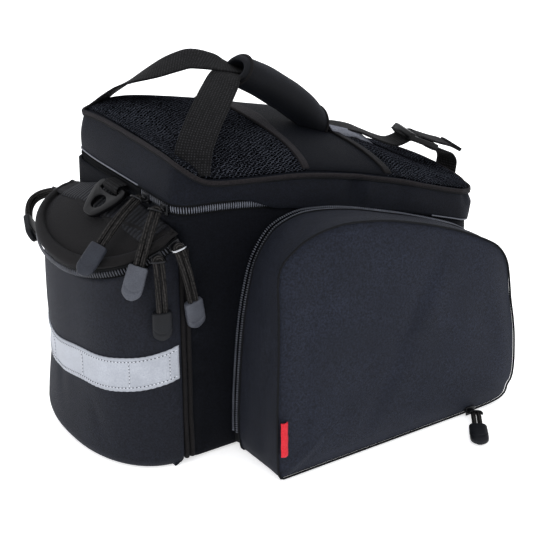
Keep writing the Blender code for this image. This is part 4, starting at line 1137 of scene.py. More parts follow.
STRIP_FROM, STRIP_TO = 0.006, ARC_SHARE - 0.006
rows = []
for r in range(11):
    row = []
    for k in range(161):
        share = STRIP_FROM + (STRIP_TO - STRIP_FROM) * k / 160
        x, y = barrel_line(share)
        z = strip_low(x, y) + STRIP_HIGH * r / 10
        pucker = 0.00035 * math.sin(k * 1.9) * (abs(2 * r / 10 - 1) ** 3)
        row.append(on_barrel(share, z + 0.0004 * waviness((x, y, z), 0.02, 4.0), 0.0010 + pucker))
    rows.append(row)
tape = pin("reflective_tape", rows, BEADED, thickness=0.0008, inside=BARREL_MIDDLE)
belongs(tape, "reflector", "reflective_strip")


def strip_line(height_share):
    found = []
    for k in range(201):
        share = STRIP_FROM + 0.004 + (STRIP_TO - STRIP_FROM - 0.008) * k / 200
        x, y = barrel_line(share)
        found.append(on_barrel(share, strip_low(x, y) + STRIP_HIGH * height_share, 0.0012))
    return found


def strip_upright(share):
    x, y = barrel_line(share)
    return [on_barrel(share, strip_low(x, y) + STRIP_HIGH * (0.12 + 0.76 * k / 10), 0.0012) for k in range(11)]


for number, line in enumerate(
    [strip_line(0.11), strip_line(0.89)]
    + [strip_upright(STRIP_FROM + (STRIP_TO - STRIP_FROM) * s) for s in (0.13, 0.40, 0.63, 0.84, 0.968)]
):
    sewn = run_stitches(f"tape_stitches_{number}", line, barrel_out, THREAD, 0.0032, 0.0006)
    belongs(sewn, "reflector")
    # Dark beads at each stitch's end are painted shadows of the stitches.
    stitch_shadow_beads = []
    for spot, along in every(line[1:], 0.0032):
        normal = barrel_out(spot)
        stitch_shadow_beads.append((spot + normal * 0.0001, along, along.cross(normal), (0.0011, 0.0010, 0.0006)))
    belongs(lay_beads(f"tape_stitch_painted_shadows_{number}", stitch_shadow_beads, SHADE_BLACK), "reflector")
print("reflective tape sewn")

# %% Upright bindings beside the barrel
for name, sign in (("near", -1), ("far", 1)):
    for number, (x, y) in enumerate(((-0.1185, 0.0954), (-0.1135, 0.0952))):
        low, high = 0.005, 0.193
        path = []
        for k in range(41):
            z = low + (high - low) * k / 40
            p = (x, sign * 0.095, z)
            path.append(Vector((x + 0.0006 * waviness(p, 0.03), sign * y, z)))
        upright = sweep(
            f"upright_binding_{name}_{number}", path, Vector((1.0, 0.0, 0.0)), round_section(0.0023, 10), BINDING
        )
        belongs(upright, "webbing", *((f"end_piping_{name}",) if number == 0 else ()))
print("upright bindings made")

# %% [markdown]
# ## The side pockets
#
# Each side pocket is a padded panel on a gusset: a zip runs round it against the tub, then a strip
# of cloth turns outwards to the panel's piped seam. The two outlines are given in shares of the
# pocket's length and height. The cloth is soft, so its seam wanders and its corners are slack.

# %% Outlines of the side pocket
POCKET_REAR, POCKET_LONG, POCKET_TALL = -0.075, 0.262, 0.205
POCKET_DEEP, POCKET_LEAN = 0.068, 0.010
ZIP_SHARE = 0.16
BACK_OUTLINE = [
    (0.010, 0.000), (0.010, 0.230), (0.033, 0.590), (0.078, 0.825), (0.143, 0.950), (0.250, 0.992),
    (0.400, 0.965), (0.660, 0.865), (0.900, 0.755), (0.965, 0.690), (0.992, 0.560), (1.000, 0.300),
    (0.985, 0.060), (0.930, 0.000), (0.500, 0.000), (0.130, 0.000), (0.050, 0.012),
]
FRONT_OUTLINE = [
    (0.014, 0.000), (0.014, 0.300), (0.028, 0.680), (0.030, 0.905), (0.100, 0.975), (0.180, 1.010),
    (0.285, 1.022), (0.440, 0.992), (0.605, 0.930), (0.752, 0.858), (0.895, 0.765), (0.945, 0.675),
    (0.960, 0.510), (0.988, 0.345), (1.000, 0.120), (0.965, 0.020), (0.900, 0.000), (0.500, 0.000),
    (0.055, 0.000),
]
ROUND = 240


def soft_outline(table, base):
    """A closed line of (x, z) from a table of shares, its corners cut twice."""
    points = [(POCKET_REAR + POCKET_LONG * a, base + (POCKET_TALL - base) * u) for a, u in table]
    for cut in (0.20, 0.25):
        cornered = []
        for i, (x, z) in enumerate(points):
            nx, nz = points[(i + 1) % len(points)]
            cornered.append((x + (nx - x) * cut, z + (nz - z) * cut))
            cornered.append((nx + (x - nx) * cut, nz + (z - nz) * cut))
        points = cornered
    line = np.array(points + points[:1])
    marks = travelled(line)
    spots = np.linspace(0.0, marks[-1], ROUND + 1)
    return np.stack([np.interp(spots, marks, line[:, k]) for k in (0, 1)], axis=1)


# Places where the near seam is pinched inwards: (x, z), reach and depth
SEAM_PINCHES = [
    ((-0.0714, 0.1915), 0.0045, 0.0022),
    ((-0.0533, 0.2030), 0.0050, 0.0020),
    ((0.1835, 0.0140), 0.0045, 0.0026),
]


def pinched(loop):
    normals = outward(loop)
    for centre, reach, deep in SEAM_PINCHES:
        near = np.exp(-((np.linalg.norm(loop - np.array(centre), axis=1) / reach) ** 2))
        loop = loop - normals * (near * deep)[:, None]
    return loop


def outward(loop):
    """Unit outward normals of a clockwise (x, z) loop whose last point repeats the first."""
    body = loop[:-1]
    run = np.roll(body, -2, axis=0) - np.roll(body, 2, axis=0)
    long = np.linalg.norm(run, axis=1)[:, None]
    normal = np.stack([-run[:, 1], run[:, 0]], axis=1) / long
    return np.concatenate([normal, normal[:1]])


back_line = soft_outline(BACK_OUTLINE, 0.0010)
front_line = pinched(soft_outline(FRONT_OUTLINE, 0.0024))
print("pocket seam:", round(float(np.linalg.norm(np.diff(front_line, axis=0), axis=1).sum()), 3), "m round")


# %% Where the pocket's cloth lies
def face_y(z):
    return HALF_WIDTH + POCKET_DEEP - POCKET_LEAN * (z / POCKET_TALL) ** 2


GUSSET_FOLDS = [
    ((-0.070, -0.130, 0.150), 0.0060, (0.0, 0.2, 1.0), -0.0022),
    ((-0.072, -0.146, 0.110), 0.0055, (0.0, -0.05, 1.0), -0.0022),
    ((-0.074, -0.122, 0.070), 0.0060, (0.0, 0.1, 1.0), 0.0014),
    ((-0.074, -0.140, 0.040), 0.0070, (0.0, 0.1, 1.0), -0.0018),
    ((-0.040, -0.140, 0.203), 0.0070, (1.0, 0.3, 0.2), -0.0026),
    ((0.010, -0.130, 0.210), 0.0070, (1.0, -0.1, 0.0), -0.0022),
    ((-0.064, -0.150, 0.192), 0.0050, (0.3, 1.0, 0.2), -0.0026),
    ((0.070, -0.125, 0.205), 0.0060, (0.6, 1.0, 0.0), -0.0018),
]


def gusset_place(i, share, sign, out=0.0):
    bx, bz = back_line[i]
    fx, fz = front_line[i]
    x, z = bx + (fx - bx) * share, bz + (fz - bz) * share
    y = HALF_WIDTH + 0.0008 + (face_y(fz) - HALF_WIDTH - 0.0008) * share
    p = Vector((x, -y, z))
    swell = 0.0022 * math.sin(math.pi * share) + out
    swell += 0.0011 * waviness(p, 0.036, 9.0) * math.sin(math.pi * share)
    swell += folds(p, GUSSET_FOLDS, 4.0)
    if z < 0.012:
        swell = min(swell, out + 0.0006)
    nx, nz = BACK_OUT[i] * (1 - share) + FRONT_OUT[i] * share
    return Vector((x + nx * swell, sign * y, max(z + nz * swell, 0.0003)))


BACK_OUT, FRONT_OUT = outward(back_line), outward(front_line)

# Soft folds of the face: place, width, direction, and depth
FACE_FOLDS = [
    ((0.064, -0.163, 0.120), 0.010, (0.55, 0.0, 1.0), -0.0016),
    ((0.078, -0.163, 0.112), 0.012, (0.55, 0.0, 1.0), 0.0012),
    ((0.030, -0.163, 0.052), 0.010, (0.7, 0.0, 1.0), -0.0010),
    ((-0.048, -0.163, 0.060), 0.010, (0.1, 0.0, 1.0), -0.0014),
    ((-0.040, -0.163, 0.140), 0.012, (0.3, 0.0, 1.0), -0.0012),
    ((0.150, -0.163, 0.080), 0.012, (-0.4, 0.0, 1.0), -0.0014),
]
FACE_MIDDLE = np.array([0.052, 0.098])
FACE_REACH = ((front_line - FACE_MIDDLE) * FRONT_OUT).sum(axis=1)


def face_place(i, inset, sign):
    """The panel's face, by distance in from its seam. It puffs out as padded cloth does."""
    edge = 0.030 / FACE_REACH[i]
    share = inset / FACE_REACH[i] if inset < 0.030 else edge + (1 - edge) * (inset - 0.030) / 0.070
    x, z = front_line[i] + (FACE_MIDDLE - front_line[i]) * share
    puff = 0.0072 * (1 - math.exp(-inset / 0.011))
    p = (x, -0.163, z)
    fade = min(inset / 0.012, 1.0)
    puff += fade * 0.0011 * waviness(p, 0.055, 11.0)
    puff += fade * folds(p, FACE_FOLDS, 4.5)
    return Vector((x, sign * (face_y(z) - 0.0010 + puff), z))


# %% [markdown]
# The seam between gusset and face is piped: a thin cord in a folded tape, squeezed between the
# two cloths; the second line of stitching behind it is not drawn. The far pocket, which the picture
# hides, is made as the mirror of the near one.


# %% Both side pockets
FACE_INSETS = (
    0.0, 0.0012, 0.0026, 0.0045, 0.0070, 0.0100, 0.0135, 0.0175, 0.022, 0.027, 0.034, 0.042, 0.051, 0.060,
    0.070, 0.080, 0.090, 0.100,
)


def pocket_out(sign):
    middle = Vector((0.055, sign * 0.1, 0.095))

    def out(p):
        away = p - middle
        return Vector((away.x / 0.130, 0.0, away.z / 0.100)).normalized()

    return out


def side_pocket(suffix, sign):
    centre = Vector((0.055, sign * 0.12, 0.095))
    steps = range(ROUND + 1)
    shares = [ZIP_SHARE * k / 6 for k in range(7)]
    rows = []
    for s in shares:
        out = -0.0016 + 0.0010 * (2 * s / ZIP_SHARE - 1) ** 2
        rows.append([gusset_place(i, s, sign, out) for i in steps])
    strip = pin(f"pocket_zip_tape_{suffix}", rows, ZIP_TAPE, thickness=0.0014, inside=centre)
    belongs(strip, "zip", f"side_zip_{suffix}")
    rows = [[gusset_place(i, ZIP_SHARE + (0.985 - ZIP_SHARE) * k / 26, sign) for i in steps] for k in range(27)]
    gusset = pin(f"pocket_gusset_{suffix}", rows, NYLON, thickness=0.0018, inside=centre)
    belongs(gusset, "cloth", f"side_gusset_{suffix}", f"side_base_{suffix}")
    chain = [gusset_place(i, ZIP_SHARE * 0.52, sign, 0.0014) for i in steps]
    out = pocket_out(sign)
    # The pocket zip's loops take the painted-highlight grey.
    teeth = zip_teeth(f"pocket_zip_teeth_{suffix}", chain[:-14], out, COIL_HIGHLIT, 0.0086, 0.0021, paired=True)
    belongs(teeth, "zip")
    edge = [gusset_place(i, ZIP_SHARE * 1.05, sign, 0.0004) for i in steps]
    edge[-1] = edge[0].copy()
    section = round_section(0.0009, 8)
    # The zip hem is near-black nylon, a painted shade along the seam.
    hem = sweep(f"pocket_zip_hem_{suffix}", edge, SIDEWAYS, section, NYLON_FOLD_SHADE, closed=True)
    belongs(hem, "cloth")
    path = []
    for i in steps:
        x, z = front_line[i] + FRONT_OUT[i] * 0.0004
        wave = 0.0004 * waviness((x, 0.0, z), 0.02, 6.0)
        path.append(Vector((x + wave, sign * (face_y(z) + 0.0002), max(z, 0.0020))))
    path[-1] = path[0].copy()
    section = round_section(0.0009, 10)
    # The piping is near-black nylon, a painted shade along the seam.
    welt = sweep(f"pocket_piping_{suffix}", path, SIDEWAYS, section, NYLON_FOLD_SHADE, closed=True)
    belongs(welt, "webbing", f"side_piping_{suffix}")
    rows = [[face_place(i, inset, sign) for i in steps] for inset in FACE_INSETS]
    # The face takes the lighter copy of the nylon, a painted light.
    face = pin(f"pocket_face_{suffix}", rows, NYLON_FACE_LIT, thickness=0.0020, inside=centre)
    belongs(face, "cloth", f"side_panel_{suffix}")
    print(suffix, "pocket:", len(gusset.data.polygons) + len(face.data.polygons), "faces")


side_pocket("near", -1)
side_pocket("far", 1)

# %% [markdown]
# A small woven label is caught in the near pocket's seam. It is left plain.

# %% The woven label
rows = []
for r in range(19):
    z = 0.0255 + 0.0310 * r / 18
    row = []
    for c in range(9):
        x = -0.0705 + 0.0068 * c / 8
        lift = 0.0034 + 0.0016 * math.sin(math.pi * c / 8) + 0.0002 * math.sin(r * 0.9)
        row.append(Vector((x, -(face_y(z) + lift), z)))
    rows.append(row)
label = pin("woven_label", rows, LABEL_CLOTH, thickness=0.0007)
belongs(label, "label", "label_tab")

# %% [markdown]
# ## The carrying handle
#
# Two webbing straps rise from the lid's rear corners and run together through a padded sleeve.
# In front of it a single strap with a reflective face goes down to the ladder lock, and a short
# anchor ties the lock to the lid's front edge. Webbing bends easily one way only, so each strap is
# a flat section carried along its path with its width kept across.

# %% The grip's axis
GRIP_TOP, GRIP_END = Vector((-0.008, 0.0, 0.3015)), Vector((0.084, -0.003, 0.2360))
GRIP_LONG, GRIP_WIDE, GRIP_HIGH, GRIP_SIDES = 0.105, 0.040, 0.0285, 40
grip_axis = (GRIP_END - GRIP_TOP).normalized()
grip_side = grip_axis.cross(UP).normalized()
grip_up = grip_side.cross(grip_axis).normalized()


def grip_ring(share, wall):
    """A ring of the sleeve: plump in the middle, rolled in at its ends."""
    bow = 0.0045 * 4 * share * (1 - share)
    centre = GRIP_TOP + grip_axis * GRIP_LONG * share + grip_up * bow
    taper = 1 - 0.10 * (2 * share - 1) ** 4 - 0.10 * max(share, 0.0) ** 8
    slope = 0.55 * clamp((share - 0.6) / 0.4) ** 2
    ring = []
    for k in range(GRIP_SIDES + 1):
        turn = math.tau * k / GRIP_SIDES
        wide = GRIP_WIDE * taper / 2 - wall
        high = GRIP_HIGH * taper / 2 - wall
        u, v = wide * math.cos(turn), high * math.sin(turn)
        p = centre + grip_side * u + grip_up * v - grip_axis * v * slope
        soft = 0.0006 * waviness(p, 0.018, 13.0) * (1 if wall < 0.002 else 0)
        ring.append(p + (grip_side * u + grip_up * v).normalized() * soft)
    return ring


rows = [grip_ring(0.5, 0.0052)]
rows += [grip_ring(0.5 * (1 - k / 5), 0.0052) for k in range(1, 6)]
rows += [grip_ring(-0.012, w) for w in (0.0044, 0.0030, 0.0016)]
rows += [grip_ring(0.0, 0.0003)]
rows += [grip_ring(k / 24, 0.0) for k in range(1, 24)]
rows += [grip_ring(1.0, 0.0003)]
rows += [grip_ring(1.012, w) for w in (0.0016, 0.0030, 0.0044)]
rows += [grip_ring(1 - 0.5 * k / 5, 0.0052) for k in range(0, 6)]
grip = pin("grip", rows, NEOPRENE, inside=(GRIP_TOP + GRIP_END) / 2, closed=True)
belongs(grip, "webbing", "grip_sleeve")

# %% Sewn cuffs at both ends of the grip, and the seam under it
for name, share in (("rear", 0.03), ("front", 0.975)):
    ring = grip_ring(share, -0.0002)
    cuff = sweep(f"grip_cuff_{name}", ring, grip_axis, round_section(0.0011, 8, 1.6), BINDING, closed=True)
    belongs(cuff, "webbing")
seam = [grip_ring(0.03 + 0.94 * k / 40, -0.0001)[29] for k in range(41)]
grip_seam = sweep("grip_seam", seam, grip_side, round_section(0.0008, 6), BINDING)
belongs(grip_seam, "webbing")
print("grip:", len(grip.data.polygons), "faces")

# %% The two rear straps
# Places down the middle of each strap, from its root at the lid's corner to the sleeve, with the
# direction of its width there
STRAP_LINES = {
    "near": [
        ((-0.1010, -0.0850, 0.2470), (0.63, -0.77, 0.0)),
        ((-0.0960, -0.0780, 0.2545), (0.63, -0.77, 0.0)),
        ((-0.0893, -0.0700, 0.2644), (0.70, -0.70, -0.10)),
        ((-0.0730, -0.0550, 0.2767), (0.72, -0.66, -0.10)),
        ((-0.0557, -0.0400, 0.2868), (0.68, -0.70, -0.15)),
        ((-0.0373, -0.0220, 0.2942), (0.50, -0.80, -0.25)),
        ((-0.0197, -0.0060, 0.3000), (0.20, -0.95, -0.20)),
        ((0.0040, -0.0020, 0.2925), (0.05, -1.0, 0.0)),
    ],
    "far": [
        ((-0.1010, 0.0900, 0.2600), (0.81, 0.55, -0.19)),
        ((-0.0955, 0.0850, 0.2675), (0.70, 0.70, -0.20)),
        ((-0.0888, 0.0780, 0.2752), (0.49, 0.82, -0.30)),
        ((-0.0758, 0.0660, 0.2863), (0.45, 0.86, -0.25)),
        ((-0.0627, 0.0530, 0.2952), (0.39, 0.92, -0.10)),
        ((-0.0466, 0.0370, 0.3047), (0.36, 0.92, 0.19)),
        ((-0.0369, 0.0280, 0.3083), (0.50, 0.78, 0.37)),
        ((-0.0274, 0.0190, 0.3075), (0.58, 0.74, 0.31)),
        ((-0.0160, 0.0090, 0.3040), (0.30, 0.90, 0.20)),
        ((0.0060, 0.0020, 0.2955), (0.05, 1.0, 0.0)),
    ],
}
for name, line in STRAP_LINES.items():
    path = smooth_line([place for place, _ in line], 60)
    across = smooth_line([side for _, side in line], 60)
    strap = sweep(
        f"carry_strap_{name}", path, across, band_section(0.030, 0.0018), WEBBING,
        taper=lambda t: 1 - 0.26 * max(t - 0.72, 0.0) / 0.28,
    )
    belongs(strap, "webbing", f"strap_{name}")
print("rear straps made")

# %% The front strap and its reflective face
BUCKLE = Vector((0.182, -0.014, 0.2130))
BUCKLE_RUN = Vector((0.88, -0.22, -0.40)).normalized()
BUCKLE_ACROSS = Vector((0.25, 1.0, 0.0)).normalized()
BUCKLE_LONG, BUCKLE_WIDE, BUCKLE_THICK = 0.032, 0.040, 0.005
buckle_side = (BUCKLE_ACROSS - BUCKLE_RUN * BUCKLE_ACROSS.dot(BUCKLE_RUN)).normalized()
buckle_up = BUCKLE_RUN.cross(buckle_side).normalized()
if buckle_up.z < 0:
    buckle_up = -buckle_up

FRONT_LINE = [
    (0.0680, -0.0030, 0.2460), (0.0841, -0.0030, 0.2390), (0.1007, -0.0035, 0.2350), (0.1159, -0.0050, 0.2300),
    (0.1289, -0.0060, 0.2235), (0.1442, -0.0070, 0.2160), (0.1555, -0.0090, 0.2120), (0.1640, -0.0110, 0.2135),
    (0.1700, -0.0120, 0.2160),
]
path = smooth_line(FRONT_LINE, 48)
front_strap = sweep(
    "front_strap", path, BUCKLE_ACROSS, band_section(0.030, 0.0018), WEBBING,
    taper=lambda t: 1 - 0.28 * (1 - min(t / 0.4, 1.0)),
)
belongs(front_strap, "webbing", "strap_front")

# The reflective strip hangs out from under the strap's near edge: its upper and lower border
STRIP_BORDERS = [
    ((0.0780, -0.0170, 0.2430), (0.0815, -0.0180, 0.2365)),
    ((0.0870, -0.0170, 0.2400), (0.0890, -0.0185, 0.2310)),
    ((0.0962, -0.0170, 0.2367), (0.0975, -0.0185, 0.2285)),
    ((0.1111, -0.0170, 0.2305), (0.1090, -0.0185, 0.2255)),
    ((0.1229, -0.0170, 0.2218), (0.1190, -0.0185, 0.2185)),
    ((0.1327, -0.0170, 0.2125), (0.1315, -0.0180, 0.2107)),
]
upper = smooth_line([a for a, _ in STRIP_BORDERS], 30)
lower = smooth_line([b for _, b in STRIP_BORDERS], 30)
rows = []
for k in range(7):
    belly = Vector((0.0, -0.0008 * math.sin(math.pi * k / 6), 0.0))
    rows.append([a.lerp(b, k / 6) + belly for a, b in zip(upper, lower)])
# The strap's reflector takes the darker copy of the bead tape, a painted shade.
silver = pin("front_strap_reflector", rows, BEADED_SHADE, thickness=0.0010, inside=Vector((0.10, 0.05, 0.23)))
belongs(silver, "reflector", "strap_reflector")
below = [b + Vector((0.001, 0.0006, -0.0004)) for b in lower]
edge = sweep("front_strap_hem", below, Vector((0.0, 0.4, 1.0)), band_section(0.0032, 0.0014), ACETAL)
belongs(edge, "webbing")
print("front strap made")


# %% [markdown]
# The ladder lock is moulded acetal: two side rails and three cross bars, the rear one raised as a
# thumb lip. It starts as one box and each bar is a copy of it, stretched, rounded by a bevel and
# joined into one piece.


# %% The ladder lock
def rounded_bar(low, high, radius):
    """A box between two corners in the lock's own directions, its edges bevelled."""
    bpy.ops.object.select_all(action="DESELECT")
    bpy.ops.mesh.primitive_cube_add(size=1.0)
    bar = bpy.context.object
    bar.scale = [h - l for l, h in zip(low, high)]
    bar.location = [(h + l) / 2 for l, h in zip(low, high)]
    settle(bar)
    edge = bar.modifiers.new("Edge", "BEVEL")
    edge.width = radius
    edge.segments = 3
    apply_all(bar)
    return bar


def place_in(obj, origin, x_axis, y_axis, z_axis):
    """Carries a piece made at the origin to its place, then settles it."""
    turned = Matrix((x_axis, y_axis, z_axis)).transposed().to_4x4()
    obj.matrix_world = Matrix.Translation(origin) @ turned
    settle(obj)


def join(name, pieces, finish):
    bpy.ops.object.select_all(action="DESELECT")
    for piece in pieces:
        piece.select_set(True)
    bpy.context.view_layer.objects.active = pieces[0]
    bpy.ops.object.join()
    made = bpy.context.object
    made.name = name
    made.data.materials.clear()
    made.data.materials.append(finish)
    bpy.ops.object.shade_smooth_by_angle(angle=math.radians(40))
    return made


half_long, half_wide, half_thick = BUCKLE_LONG / 2, BUCKLE_WIDE / 2, BUCKLE_THICK / 2
rail = half_wide - 0.0026
# Two side rails, then the raised rear bar, the middle one and the front one: two corners, rounding
BARS = [
    ((-half_long, -rail - 0.0026, -half_thick), (half_long, -rail + 0.0026, half_thick), 0.0008),
    ((-half_long, rail - 0.0026, -half_thick), (half_long, rail + 0.0026, half_thick), 0.0008),
    (
        (-half_long, 0.001 - half_wide, -half_thick),
        (0.0055 - half_long, half_wide - 0.001, half_thick + 0.0022),
        0.0014,
    ),
    ((-0.0035, 0.002 - half_wide, -half_thick * 0.8), (0.0035, half_wide - 0.002, half_thick * 0.7), 0.0012),
    ((half_long - 0.0050, 0.001 - half_wide, -half_thick), (half_long, half_wide - 0.001, half_thick), 0.0014),
]
bars = [rounded_bar(*row) for row in BARS]
lock = join("ladder_lock_body", bars, ACETAL)
place_in(lock, BUCKLE, BUCKLE_RUN, buckle_side, BUCKLE_RUN.cross(buckle_side))
belongs(lock, "plastic", "ladder_lock")


# %% The strap through the lock, its tail and the anchor
def by_lock(ahead, up):
    """A place beside the lock's middle, by distance along its run and above it."""
    return BUCKLE + BUCKLE_RUN * ahead + buckle_up * up


THROUGH = [
    (-half_long - 0.0040, -0.0004), (-half_long + 0.0030, -0.0034), (-half_long + 0.0085, -0.0006),
    (-0.002, 0.0034), (0.006, 0.0036), (half_long + 0.004, 0.0042), (half_long + 0.016, 0.0052),
    (half_long + 0.028, 0.0040),
]
through = [by_lock(ahead, up) for ahead, up in THROUGH]
tail = sweep("strap_tail_webbing", smooth_line(through, 44), buckle_side, band_section(0.0285, 0.0018), WEBBING)
belongs(tail, "webbing", "strap_tail")
fold = [by_lock(half_long + d, u) for d, u in ((0.019, 0.0066), (0.024, 0.0064), (0.0285, 0.0056))]
hem = sweep("strap_tail_hem", smooth_line(fold, 10), buckle_side, band_section(0.0280, 0.0020), WEBBING)
belongs(hem, "webbing")

edge_x = FRONT_X + FRONT_BOW + 0.005 + 0.0044 + 0.0030
hook = by_lock(half_long - 0.002, -half_thick - 0.0014)
crest = lid_height(FRONT_X, 0.0) + 0.0030
over = Vector((edge_x - 0.0020, hook.y - 0.003, crest + 0.0052))
past = Vector((edge_x + 0.0030, hook.y - 0.004, crest - 0.0026))
down = Vector((edge_x, hook.y - 0.006, zip_height(FRONT_X) + 0.010))
first = by_lock(half_long - 0.0095, -0.0030)
path = smooth_line([first, hook, hook.lerp(over, 0.5), over, past, past.lerp(down, 0.5), down], 40)
across = [buckle_side.lerp(SIDEWAYS, min(k / 20, 1.0)) for k in range(41)]
anchor = sweep("anchor_webbing", path, across, band_section(0.0285, 0.0018), WEBBING)
belongs(anchor, "webbing", "strap_anchor")
print("buckle, tail and anchor made")

# %% [markdown]
# ## The D-ring
#
# The ring is moulded too: a flat D with a straight slot for its webbing loop and an oval eye. Its
# outline is drawn once, filled, given thickness, opened by two cutters and rounded by a bevel.

# %% The D-ring
RING_BAR = Vector((-0.1285, -0.004, 0.2196))
RING_TILT = math.radians(36.0)
ring_down = Vector((-math.cos(RING_TILT), 0.0, -math.sin(RING_TILT)))
RING_SHAPE = [(0.80, -0.062), (0.96, 0.02), (1.00, 0.14), (0.94, 0.34), (0.70, 0.66), (0.44, 0.92), (0.22, 1.00)]


def prism(name, shape, thick):
    """A flat outline drawn with one face and extruded."""
    bpy.ops.object.select_all(action="DESELECT")
    bpy.ops.mesh.primitive_circle_add(vertices=len(shape), radius=1.0, fill_type="NGON")
    plate = bpy.context.object
    plate.name = name
    for vertex, (u, v) in zip(plate.data.vertices, shape):
        vertex.co = (v, u, -thick / 2)
    bpy.ops.object.mode_set(mode="EDIT")
    bpy.ops.mesh.select_all(action="SELECT")
    bpy.ops.mesh.extrude_region_move(TRANSFORM_OT_translate={"value": (0.0, 0.0, thick)})
    bpy.ops.mesh.select_all(action="SELECT")
    bpy.ops.mesh.normals_make_consistent(inside=False)
    bpy.ops.object.mode_set(mode="OBJECT")
    return plate


def softened(shape, times=2):
    for _ in range(times):
        cut = []
        for i, (u, v) in enumerate(shape):
            nu, nv = shape[(i + 1) % len(shape)]
            cut.append((u * 0.78 + nu * 0.22, v * 0.78 + nv * 0.22))
            cut.append((u * 0.22 + nu * 0.78, v * 0.22 + nv * 0.78))
        shape = cut
    return shape


half_ring = [(u * 0.0225, v * 0.032) for u, v in RING_SHAPE]
ring = prism("d_ring_moulding", softened(half_ring + [(-u, v) for u, v in reversed(half_ring)]), 0.0044)
slot_shape = softened([(-0.0148, 0.0020), (0.0148, 0.0020), (0.0148, 0.0072), (-0.0148, 0.0072)], 1)
eye_shape = [
    ((0.0095 if math.sin(t) < 0 else 0.0085) * math.cos(t), 0.0178 + 0.0068 * math.sin(t))
    for t in [math.tau * k / 32 for k in range(32)]
]
for shape in (slot_shape, eye_shape):
    cutter = prism("cutter", shape, 0.02)
    cut = ring.modifiers.new("Cut", "BOOLEAN")
    cut.operation = "DIFFERENCE"
    cut.solver = "EXACT"
    cut.object = cutter
    apply_all(ring)
    bpy.data.objects.remove(cutter)
only(ring)
edge = ring.modifiers.new("Edge", "BEVEL")
edge.width = 0.0010
edge.segments = 3
edge.limit_method = "ANGLE"
edge.angle_limit = math.radians(50)
apply_all(ring)
ring.data.materials.clear()
ring.data.materials.append(ACETAL)
bpy.ops.object.shade_smooth_by_angle(angle=math.radians(35))
place_in(ring, RING_BAR, ring_down, SIDEWAYS, ring_down.cross(SIDEWAYS))
belongs(ring, "plastic", "d_ring", body="ring")
print("D-ring:", len(ring.data.polygons), "faces")

# %% Its webbing loop
path = [
    Vector((REAR_X - 0.0013, RING_BAR.y, RING_BAR.z + 0.0040)),
    Vector((RING_BAR.x + 0.0022, RING_BAR.y, RING_BAR.z + 0.0041)),
]
for k in range(9):
    turn = math.radians(90 + 180 * k / 8)
    path.append(RING_BAR + Vector((0.0041 * math.cos(turn), 0.0, 0.0041 * math.sin(turn))))
path.append(Vector((REAR_X - 0.0013, RING_BAR.y, RING_BAR.z - 0.0010)))
loop = sweep("d_ring_webbing", smooth_line(path, 36), SIDEWAYS, band_section(0.0245, 0.0012), WEBBING)
belongs(loop, "webbing", "d_ring_loop")

# %% [markdown]
# ## The zip pulls
#
# Every slider has a loop of braided cord, folded once through its bail, whose two ends are moulded
# into a soft PVC tip. A braid bends in every direction, so each loop is a round tube along a curve.
# The tips are given three greys, dark, mid and light, one to each pull as listed, and each has a
# curved groove near its end for the fingernail.

# %% Where the pulls hang
PULLS = [
    ("a", "end", 1, 0.180, (-0.0545, 0.0010, -0.0345), 0.034, None, PVC_DARK),
    ("b", "main", -1, 0.495, (-0.0700, -0.0165, -0.0420), 0.005, (-0.6, -0.4, 0.7), PVC_MID),
    ("c", "main", -1, 0.820, (-0.0462, -0.0215, -0.0580), 0.008, (-0.5, -0.77, 0.4), PVC_LIGHT),
    ("d", "end", -1, 0.273, (-0.0010, -0.0094, -0.0700), 0.006, None, PVC_DARK),
    ("e", "end", -1, 0.048, (0.0175, -0.0070, -0.0740), 0.006, None, PVC_LIGHT),
    ("f", "side", -1, 0.797, (-0.0290, -0.0467, -0.0007), 0.0, None, PVC_DARK),
    ("g", "side", 1, 0.797, (-0.0290, 0.0467, -0.0007), 0.0, None, PVC_MID),
]
STRAND, SPREAD = 0.0022, 0.0048
TIP_LONG, TIP_WIDE, TIP_THICK = 0.0275, 0.0158, 0.0064


def slider_seat(zip_name, side, share):
    """The chain's place under a slider, its outward side, and the way the chain runs."""
    if zip_name == "main":
        seat = Vector((REAR_X, side * HALF_WIDTH * share, zip_height(REAR_X) - 0.0015))
        return seat, Vector((-1.0, 0.0, 0.0)), SIDEWAYS
    if zip_name == "side":
        y = side * (HALF_WIDTH + POCKET_DEEP + 0.0021)
        seat = Vector((POCKET_REAR + POCKET_LONG * share, y, 0.00455))
        return seat, SIDEWAYS * side, Vector((1.0, 0.0, 0.0))
    wide = (1 - share**BARREL_POWER) ** (1 / BARREL_POWER)
    x = REAR_X - 0.0003 - BARREL_DEEP * share
    y = side * (BARREL_HALF * wide + 0.00015)
    steep, level = share**1.2 / BARREL_DEEP, wide**1.2 / BARREL_HALF
    normal = Vector((-steep, side * level, 0.0)).normalized()
    run = Vector((-abs(normal.y), side * normal.x, -0.55 * abs(normal.y))).normalized()
    return Vector((x, y, rim_height(x, y) - 0.0045)), normal, run


